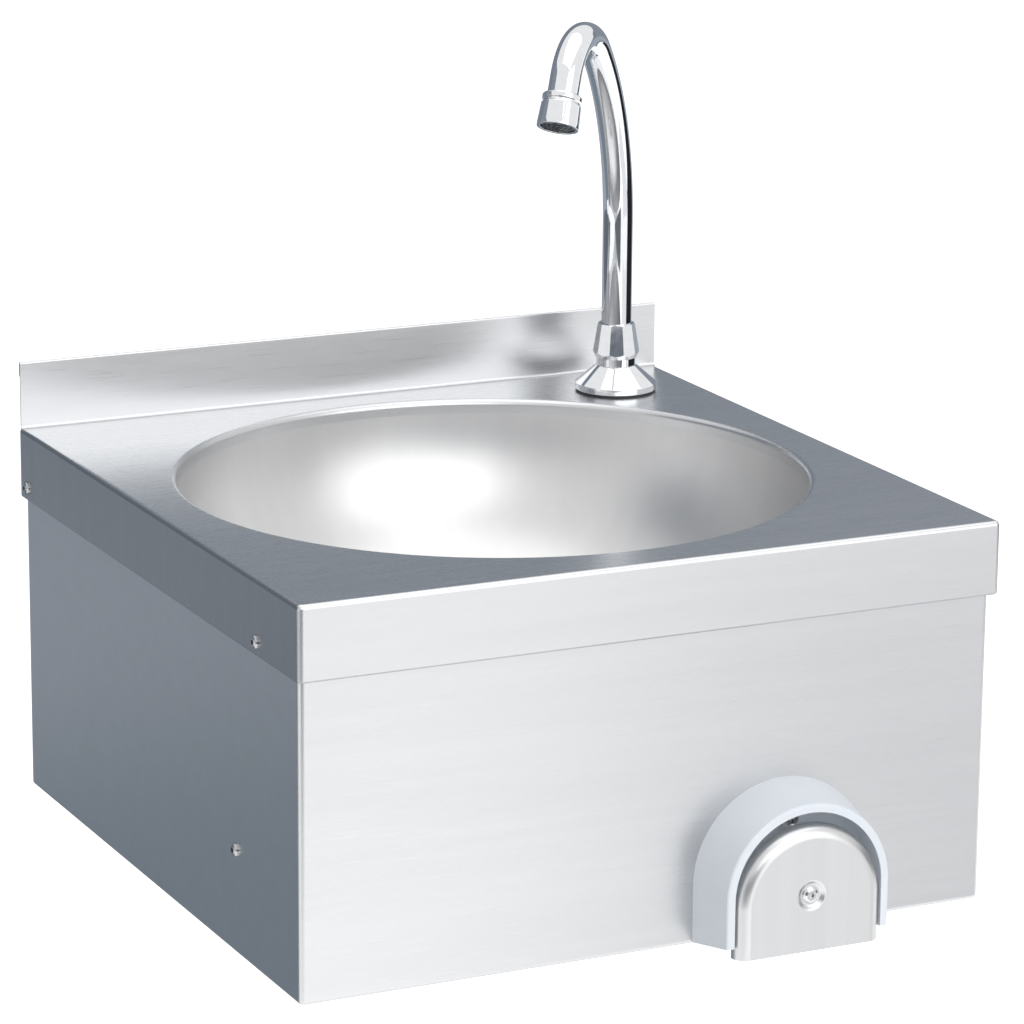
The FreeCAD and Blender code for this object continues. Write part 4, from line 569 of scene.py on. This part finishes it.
def along(turn):
    """Which way the tube runs once it has leant over by this angle."""
    return lean * math.sin(turn) + upright * math.cos(turn)


def inward(turn):
    """Which way the centre of the bend lies there."""
    return lean * math.cos(turn) - upright * math.sin(turn)


def tube_mouth(mid, way):
    """Whether an edge is on the open end of the tube."""
    return abs((mid - here).dot(along(turn))) < 0.02 * MM and (mid - here).length < 1.1 * TUBE


tube_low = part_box("spout_tube")[0][2]
bpy.ops.object.select_all(action="DESELECT")
bpy.ops.mesh.primitive_circle_add(vertices=TUBE_SIDES, radius=TUBE, location=(*tap, tube_low))
tube = start("spout_bend")
here = Vector((*tap, top_level + TUBE_STRAIGHT))
bpy.ops.mesh.extrude_edges_move(TRANSFORM_OT_translate={"value": (0, 0, here.z - tube_low)})
turn = 0.0
for reach, bend, steps in (WIDE_BEND, CROOK):
    centre = here + inward(turn) * reach
    pick("EDGE", tube_mouth)
    bpy.ops.mesh.spin(steps=steps, angle=-math.radians(bend), center=centre, axis=hinge)
    turn += math.radians(bend)
    here = centre - inward(turn) * reach
pick("EDGE", tube_mouth)
bpy.ops.mesh.extrude_edges_move(TRANSFORM_OT_translate={"value": along(turn) * TUBE_END})
bpy.ops.object.mode_set(mode="OBJECT")
tube_end = here + along(turn) * TUBE_END
end_turn = along(turn).to_track_quat("Z", "Y")
tidy_faces(tube)
modify(tube, "SOLIDIFY", thickness=TUBE_WALL, offset=-1)
settle(tube, "spout_tube")

# %% [markdown]
# ## Tap base, collar nut and aerator
#
# The base and the aerator's housing are turned on a lathe, so each is a closed ring of its section.
# The collar nut is turned too, and then ten flats are milled on it: a ten-sided cone, cut to the
# turned shape by a boolean, gives the arches where the flats run out at its foot. Each edge gets a
# small bevel, because polished chrome shows a bright line on every edge.


# %% Closed turned pieces
LATHE_CORNER = 25


def turned_ring(name, centre, profile, sides, bevel=0):
    """A closed ring with its section given as (radius, height) points."""
    thing = turn_profile(name, centre, profile + [profile[0]], sides)
    tidy_faces(thing)
    if bevel:
        modify(thing, "BEVEL", width=bevel, segments=3, limit_method="ANGLE",
               angle_limit=math.radians(LATHE_CORNER))
    return thing


base_low, base_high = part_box("tap_base")
BASE = (base_high[0] - base_low[0]) / 2
BASE_BORE = 10.6 * MM
BASE_NECK = 11.6 * MM
BASE_BAND = 4.8 * MM
base = turned_ring("tap_rose", tap, [
    (BASE_BORE, base_low[2]), (BASE, base_low[2]), (BASE, top_level + BASE_BAND),
    (BASE_NECK, base_high[2]), (BASE_BORE, base_high[2]),
], 96, 0.7 * MM)
settle(base, "tap_base")

# %% Collar nut
nut_low, nut_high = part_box("collar_nut")
NUT_SIDES = 10
NUT_TURN = 10.8
NUT_CORNER = (14.0 * MM, 10.7 * MM)
NUT_FOOT = 12.0 * MM
NUT_BORE = 10.85 * MM
NUT_CHAMFER = 4.4 * MM
NUT_BEVEL = 3.0 * MM
NUT_SEAT = 5.0 * MM
NUT_CROWN = 0.4 * MM
NUT_EDGE = 0.22 * MM
TUBE_PLAY = 0.1 * MM
envelope = turned_ring("nut_turning", tap, [
    (NUT_BORE, nut_low[2]), (NUT_FOOT, nut_low[2]), (NUT_CORNER[0], nut_low[2] + NUT_CHAMFER),
    (NUT_CORNER[0], nut_high[2] - NUT_BEVEL), (NUT_CORNER[1] - NUT_CROWN, nut_high[2]),
    (TUBE + TUBE_PLAY, nut_high[2]), (TUBE + TUBE_PLAY, nut_high[2] - NUT_SEAT),
    (NUT_BORE, nut_high[2] - NUT_SEAT),
], 120)
bpy.ops.object.select_all(action="DESELECT")
bpy.ops.mesh.primitive_cone_add(vertices=NUT_SIDES, radius1=NUT_CORNER[0], radius2=NUT_CORNER[1],
                                depth=nut_high[2] - nut_low[2],
                                location=(*tap, (nut_low[2] + nut_high[2]) / 2),
                                rotation=(0, 0, math.radians(NUT_TURN - 90)))
nut = start("collar_ten_sided")
bpy.ops.object.mode_set(mode="OBJECT")
modify(nut, "BOOLEAN", operation="INTERSECT", solver="EXACT", object=envelope)
bpy.data.objects.remove(envelope)
modify(nut, "BEVEL", width=NUT_EDGE, segments=2, limit_method="ANGLE", angle_limit=math.radians(20))
settle(nut, "collar_nut", 18)

# %% Aerator housing
SLEEVE = 4.0 * MM
MOUTH = 15.0 * MM
GROOVE = 0.8 * MM
HOUSING = (11.2 * MM, 11.8 * MM)
HOUSING_BORE = 9.8 * MM
MOUTH_BAND = 2.6 * MM
SLEEVE_PLAY = 0.05 * MM
housing = turned_ring("aerator_sleeve", (0, 0), [
    (TUBE + SLEEVE_PLAY, -SLEEVE), (HOUSING[0] - GROOVE, -SLEEVE), (HOUSING[0], -SLEEVE + GROOVE),
    (HOUSING[0], -GROOVE), (HOUSING[0] - GROOVE, 0), (HOUSING[0] - GROOVE, GROOVE),
    (HOUSING[0], 2 * GROOVE), (HOUSING[1], MOUTH - MOUTH_BAND), (HOUSING[1], MOUTH),
    (HOUSING_BORE, MOUTH), (HOUSING_BORE, 0), (TUBE + SLEEVE_PLAY, 0),
], 80, 0.25 * MM)
housing.rotation_mode = "QUATERNION"
housing.rotation_quaternion = end_turn
housing.location = tube_end
select_only(housing)
bpy.ops.object.transform_apply(location=True, rotation=True, scale=True)
settle(housing, "aerator_housing")

# %% [markdown]
# ## Knee pad
#
# The pad is a small dish of satin sheet with a round top and soft turned edges, and a dimple that
# sinks its screw. Half a disc with its straight edge pulled down gives the outline. Pulled forward
# it becomes a block, whose front edge takes a wide bevel. A shallow turned plug presses the dimple,
# and the back and the foot are opened before the sheet gets its thickness.

# %% Knee pad: block with a soft front edge
pad_low, pad_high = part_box("knee_pad")
PAD_HALF = (pad_high[0] - pad_low[0]) / 2
PAD_EDGE = 7.4 * MM
PAD_SIDES = 128
PAD_STEPS = 10
pad_x = (pad_low[0] + pad_high[0]) / 2
pad_arc = pad_high[2] - PAD_HALF
bpy.ops.object.select_all(action="DESELECT")
bpy.ops.mesh.primitive_circle_add(vertices=PAD_SIDES, radius=PAD_HALF, fill_type="NGON",
                                  location=(pad_x, pad_high[1], pad_arc),
                                  rotation=(RIGHT_ANGLE, 0, 0))
pad = start("knee_pad_dish")
bpy.ops.mesh.bisect(plane_co=(pad_x, 0, pad_arc), plane_no=(0, 0, 1), clear_inner=True)
pick("EDGE", lambda mid, way: abs(mid.z - pad_arc) < CLOSE and abs(way.x) > PAD_HALF)
bpy.ops.mesh.extrude_edges_move(TRANSFORM_OT_translate={"value": (0, 0, pad_low[2] - pad_arc)})
pick("EDGE", lambda mid, way: abs(mid.z - pad_arc) < CLOSE and abs(way.x) > PAD_HALF)
bpy.ops.mesh.dissolve_edges()
pick("FACE", lambda mid, normal: True)
bpy.ops.mesh.extrude_region_move(TRANSFORM_OT_translate={"value": (0, pad_low[1] - pad_high[1], 0)})
pick("EDGE", lambda mid, way: mid.y < pad_low[1] + CLOSE and mid.z > pad_low[2] + CLOSE)
bpy.ops.mesh.bevel(offset=PAD_EDGE, segments=PAD_STEPS)
bpy.ops.object.mode_set(mode="OBJECT")
tidy_faces(pad)
print("faces in the pad's block:", len(pad.data.polygons))

# %% Knee pad: dimple
DIMPLE = 8.6 * MM
DIMPLE_FLOOR = 5.4 * MM
DIMPLE_DEPTH = 1.6 * MM
DIMPLE_STEPS = 8
PLUG_CORE = 0.05 * MM
PLUG_TOP = 3 * MM
screw_low, screw_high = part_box("pad_screw")
knee = ((screw_low[0] + screw_high[0]) / 2, (screw_low[2] + screw_high[2]) / 2)
dish = [(PLUG_CORE, -DIMPLE_DEPTH), (DIMPLE_FLOOR, -DIMPLE_DEPTH)]
for step in range(1, DIMPLE_STEPS + 1):
    share = step / DIMPLE_STEPS
    dish.append((DIMPLE_FLOOR + (DIMPLE - DIMPLE_FLOOR) * share,
                 -DIMPLE_DEPTH * (1 + math.cos(math.pi * share)) / 2))
dish += [(DIMPLE, PLUG_TOP), (PLUG_CORE, PLUG_TOP)]
plug = turned_ring("dimple_plug", (0, 0), dish, 72)
plug.rotation_euler = (RIGHT_ANGLE, 0, 0)
plug.location = (knee[0], pad_low[1], knee[1])
select_only(plug)
bpy.ops.object.transform_apply(location=True, rotation=True, scale=True)
modify(pad, "BOOLEAN", operation="DIFFERENCE", solver="EXACT", object=plug)
bpy.data.objects.remove(plug)
bpy.ops.object.mode_set(mode="EDIT")
pick("FACE", lambda mid, normal: normal.y > 0.9 and mid.y > pad_high[1] - GAUGE
     or normal.z < -0.9 and mid.z < pad_low[2] + CLOSE)
bpy.ops.mesh.delete(type="FACE")
bpy.ops.object.mode_set(mode="OBJECT")
modify(pad, "SOLIDIFY", thickness=GAUGE, offset=-1)
settle(pad, "knee_pad", 40)

# %% [markdown]
# ## Finishes
#
# Rolled stainless sheet has fine lines along one direction, left by the rollers and the polishing
# belt. An anisotropic shader could smear the light along them, but it needs a tangent on every
# piece, so a noise stretched a hundred times along that direction is used. The lines are finer than
# a millimetre, so they change the roughness a little and the height by almost nothing. A slower
# noise, stretched 25 times the same way, gives the long pale streaks that show on a large panel.


# %% A finish made of a stretched grain
def principled(name):
    """A material with one plain shader, its tree and that shader."""
    material, tree = new_material(name)
    shader = tree.nodes.new("ShaderNodeBsdfPrincipled")
    out = tree.nodes.new("ShaderNodeOutputMaterial")
    tree.links.new(shader.outputs["BSDF"], out.inputs["Surface"])
    return material, tree, shader


def texture_noise(tree, scale_xyz, scale, detail=3.0):
    """A noise on the object's own coordinates, stretched by the three scales."""
    place = tree.nodes.new("ShaderNodeTexCoord")
    stretch = tree.nodes.new("ShaderNodeMapping")
    stretch.inputs["Scale"].default_value = scale_xyz
    noise = tree.nodes.new("ShaderNodeTexNoise")
    noise.inputs["Scale"].default_value = scale
    noise.inputs["Detail"].default_value = detail
    tree.links.new(place.outputs["Object"], stretch.inputs["Vector"])
    tree.links.new(stretch.outputs["Vector"], noise.inputs["Vector"])
    return noise.outputs["Fac"]


def spread(tree, value, low, high):
    """Maps the middle of a noise onto a range."""
    ramp = tree.nodes.new("ShaderNodeMapRange")
    ramp.inputs["From Min"].default_value = 0.3
    ramp.inputs["From Max"].default_value = 0.7
    ramp.inputs["To Min"].default_value = low
    ramp.inputs["To Max"].default_value = high
    tree.links.new(value, ramp.inputs["Value"])
    return ramp.outputs["Result"]


def two_tone(tree, value, dark_tone, light_tone):
    """A colour between two tones."""
    ramp = tree.nodes.new("ShaderNodeValToRGB")
    ramp.color_ramp.elements[0].position = 0.3
    ramp.color_ramp.elements[0].color = (*dark_tone, 1)
    ramp.color_ramp.elements[1].position = 0.7
    ramp.color_ramp.elements[1].color = (*light_tone, 1)
    tree.links.new(value, ramp.inputs["Fac"])
    return ramp.outputs["Color"]


def relief(tree, shader, value, height):
    """Raises and lowers the surface by a value, with the height in metres."""
    bump = tree.nodes.new("ShaderNodeBump")
    bump.inputs["Distance"].default_value = height
    tree.links.new(value, bump.inputs["Height"])
    tree.links.new(bump.outputs["Normal"], shader.inputs["Normal"])


GRAIN_LINES = 3200
GRAIN_STREAKS = 90
GRAIN_HEIGHT = 0.0006 * MM
GRAIN_STRETCH = 0.01
STREAK_STRETCH = 0.04


def rolled_sheet(name, grain, dark_tone, light_tone, rough):
    """Stainless sheet with its grain along X, Y or Z."""
    material, tree, shader = principled(name)
    stretched = [GRAIN_STRETCH if axis == grain else 1 for axis in "xyz"]
    lines = texture_noise(tree, stretched, GRAIN_LINES)
    slower = [STREAK_STRETCH if axis == grain else 1 for axis in "xyz"]
    streaks = texture_noise(tree, slower, GRAIN_STREAKS)
    tree.links.new(two_tone(tree, streaks, dark_tone, light_tone), shader.inputs["Base Color"])
    tree.links.new(spread(tree, lines, rough - 0.03, rough + 0.04), shader.inputs["Roughness"])
    relief(tree, shader, lines, GRAIN_HEIGHT)
    shader.inputs["Metallic"].default_value = 1.0
    return material


front_sheet = rolled_sheet("rolled_sheet_front", "x", (0.575, 0.58, 0.59), (0.595, 0.60, 0.61), 0.30)
# Painted light: the top's copy of the sheet has a lighter tone than the front.
top_sheet_painted_light = rolled_sheet("rolled_sheet_top_painted_light", "x", (0.60, 0.61, 0.625), (0.63, 0.64, 0.65), 0.27)
# Painted shade: the side aprons' copy of the sheet is darker than the front, and the turned edge under the
# aprons uses it as a painted shadow line.
side_sheet_painted_shade = rolled_sheet("rolled_sheet_side_painted_shade", "z", (0.39, 0.40, 0.415), (0.415, 0.42, 0.435), 0.30)
satin_bowl = rolled_sheet("satin_bowl", "z", (0.62, 0.62, 0.625), (0.64, 0.64, 0.64), 0.36)
satin_pad = rolled_sheet("satin_pad", "z", (0.60, 0.605, 0.61), (0.63, 0.635, 0.635), 0.34)


# %% [markdown]
# ## Chrome, turned metal, rubber and plastic
#
# The tap is chrome plate, the screws and fittings are turned steel and brass, and the seals and the
# knee guard are moulded. One flat value for each would look like plastic paint, so a fine noise
# varies the tone and the roughness of the metals, and gives the moulded pieces a faint skin. Chrome
# keeps almost no roughness, because what makes it look like chrome is the room that it mirrors.


# %% Chrome, brass, rubber and mouldings
HAZE_SCALE = 300
TONE_SCALE = 25


def smooth_metal(name, dark_tone, light_tone, rough):
    """A turned or plated metal, with faint uneven polish."""
    material, tree, shader = principled(name)
    haze = texture_noise(tree, (1, 1, 1), HAZE_SCALE)
    tree.links.new(two_tone(tree, haze, dark_tone, light_tone), shader.inputs["Base Color"])
    tree.links.new(spread(tree, haze, rough * 0.8, rough * 1.25), shader.inputs["Roughness"])
    shader.inputs["Metallic"].default_value = 1.0
    return material


def moulding(name, dark_tone, light_tone, rough, grain_scale, height):
    """Moulded plastic or rubber with a fine skin."""
    material, tree, shader = principled(name)
    skin = texture_noise(tree, (1, 1, 1), grain_scale)
    tone = texture_noise(tree, (1, 1, 1), TONE_SCALE, detail=2)
    tree.links.new(two_tone(tree, tone, dark_tone, light_tone), shader.inputs["Base Color"])
    tree.links.new(spread(tree, skin, rough - 0.05, rough + 0.06), shader.inputs["Roughness"])
    relief(tree, shader, skin, height)
    return material


RUBBER_SKIN = 0.02 * MM
PLASTIC_SKIN = 0.01 * MM
chrome = smooth_metal("chrome_plate", (0.76, 0.77, 0.79), (0.80, 0.81, 0.83), 0.05)
bright_steel = smooth_metal("bright_steel", (0.58, 0.58, 0.59), (0.66, 0.66, 0.67), 0.20)
screw_steel = smooth_metal("screw_steel", (0.42, 0.42, 0.43), (0.52, 0.52, 0.53), 0.22)
turned_brass = smooth_metal("turned_brass", (0.60, 0.44, 0.20), (0.70, 0.54, 0.28), 0.24)
black_rubber = moulding("black_rubber", (0.018, 0.018, 0.018), (0.03, 0.03, 0.03), 0.6, 1500, RUBBER_SKIN)
white_plastic = moulding("white_plastic", (0.78, 0.78, 0.76), (0.84, 0.84, 0.82), 0.4, 1200, PLASTIC_SKIN)
mesh_plastic = moulding("mesh_plastic", (0.10, 0.105, 0.115), (0.14, 0.145, 0.155), 0.4, 1200, PLASTIC_SKIN)
guard_plastic = moulding("guard_plastic", (0.71, 0.755, 0.81), (0.75, 0.79, 0.84), 0.42, 1400, PLASTIC_SKIN)

# %% [markdown]
# ## Giving each part its finish
#
# The record names a finish for every node. A CAD node keeps its mesh and only takes the material. A
# modelled piece takes the same material through its slot, and the worktop takes two more: its grain
# runs over the folds, so on the side aprons the lines stand upright. The side aprons' copy of the sheet
# is darker, as painted shade, and the turned edge under the aprons takes it too, as a painted shadow
# line under the apron's edge. The top's copy is a little lighter, as painted light. One material for
# the whole sheet would be simpler, but the top, the sides and the front mirror different things, and
# these three tones paint that difference of light into the sheet's colour.

# %% Finishes on the parts
finishes = {
    "brushed_sheet": front_sheet, "satin_bowl": satin_bowl, "satin_pad": satin_pad,
    "polished_steel": bright_steel, "screw_steel": screw_steel, "chrome_plate": chrome,
    "bare_brass": turned_brass, "black_rubber": black_rubber, "moulded_white": white_plastic,
    "guard_moulding": guard_plastic,
}
for name, node in nodes.items():
    node.data.materials.clear()
    node.data.materials.append(finishes[slot_of[name]])
nodes["aerator_insert"].data.materials[0] = mesh_plastic
pieces = {"worktop": worktop, "bowl": bowl, "spout_tube": tube, "tap_base": base, "collar_nut": nut,
          "aerator_housing": housing, "knee_pad": pad}
for name, piece in pieces.items():
    piece.data.materials.clear()
    piece.data.materials.append(finishes[slot_of[name]])
worktop.data.materials.append(top_sheet_painted_light)
worktop.data.materials.append(side_sheet_painted_shade)
FRONT_SHEET, TOP_PAINTED_LIGHT, SIDE_PAINTED_SHADE = 0, 1, 2
# The top faces take the lighter tone, painted light; the side aprons take the darker tone, painted shade,
# and the turned edge under every apron takes it as a painted shadow line.
for face in worktop.data.polygons:
    mid = face.center
    on_splash = mid.y > fold_line - FOLD and mid.z > top_level - NEAR
    on_top = face.normal.z > 0.5 and mid.z > top_level - GAUGE / 2
    on_side = abs(face.normal.x) > 0.7 and abs(mid.x) > rim_radius
    if on_splash:
        face.material_index = FRONT_SHEET
    elif on_top:
        face.material_index = TOP_PAINTED_LIGHT
    elif on_side or mid.z < turn_level:
        face.material_index = SIDE_PAINTED_SHADE
print("finishes:", len(finishes), "modelled pieces:", len(pieces))
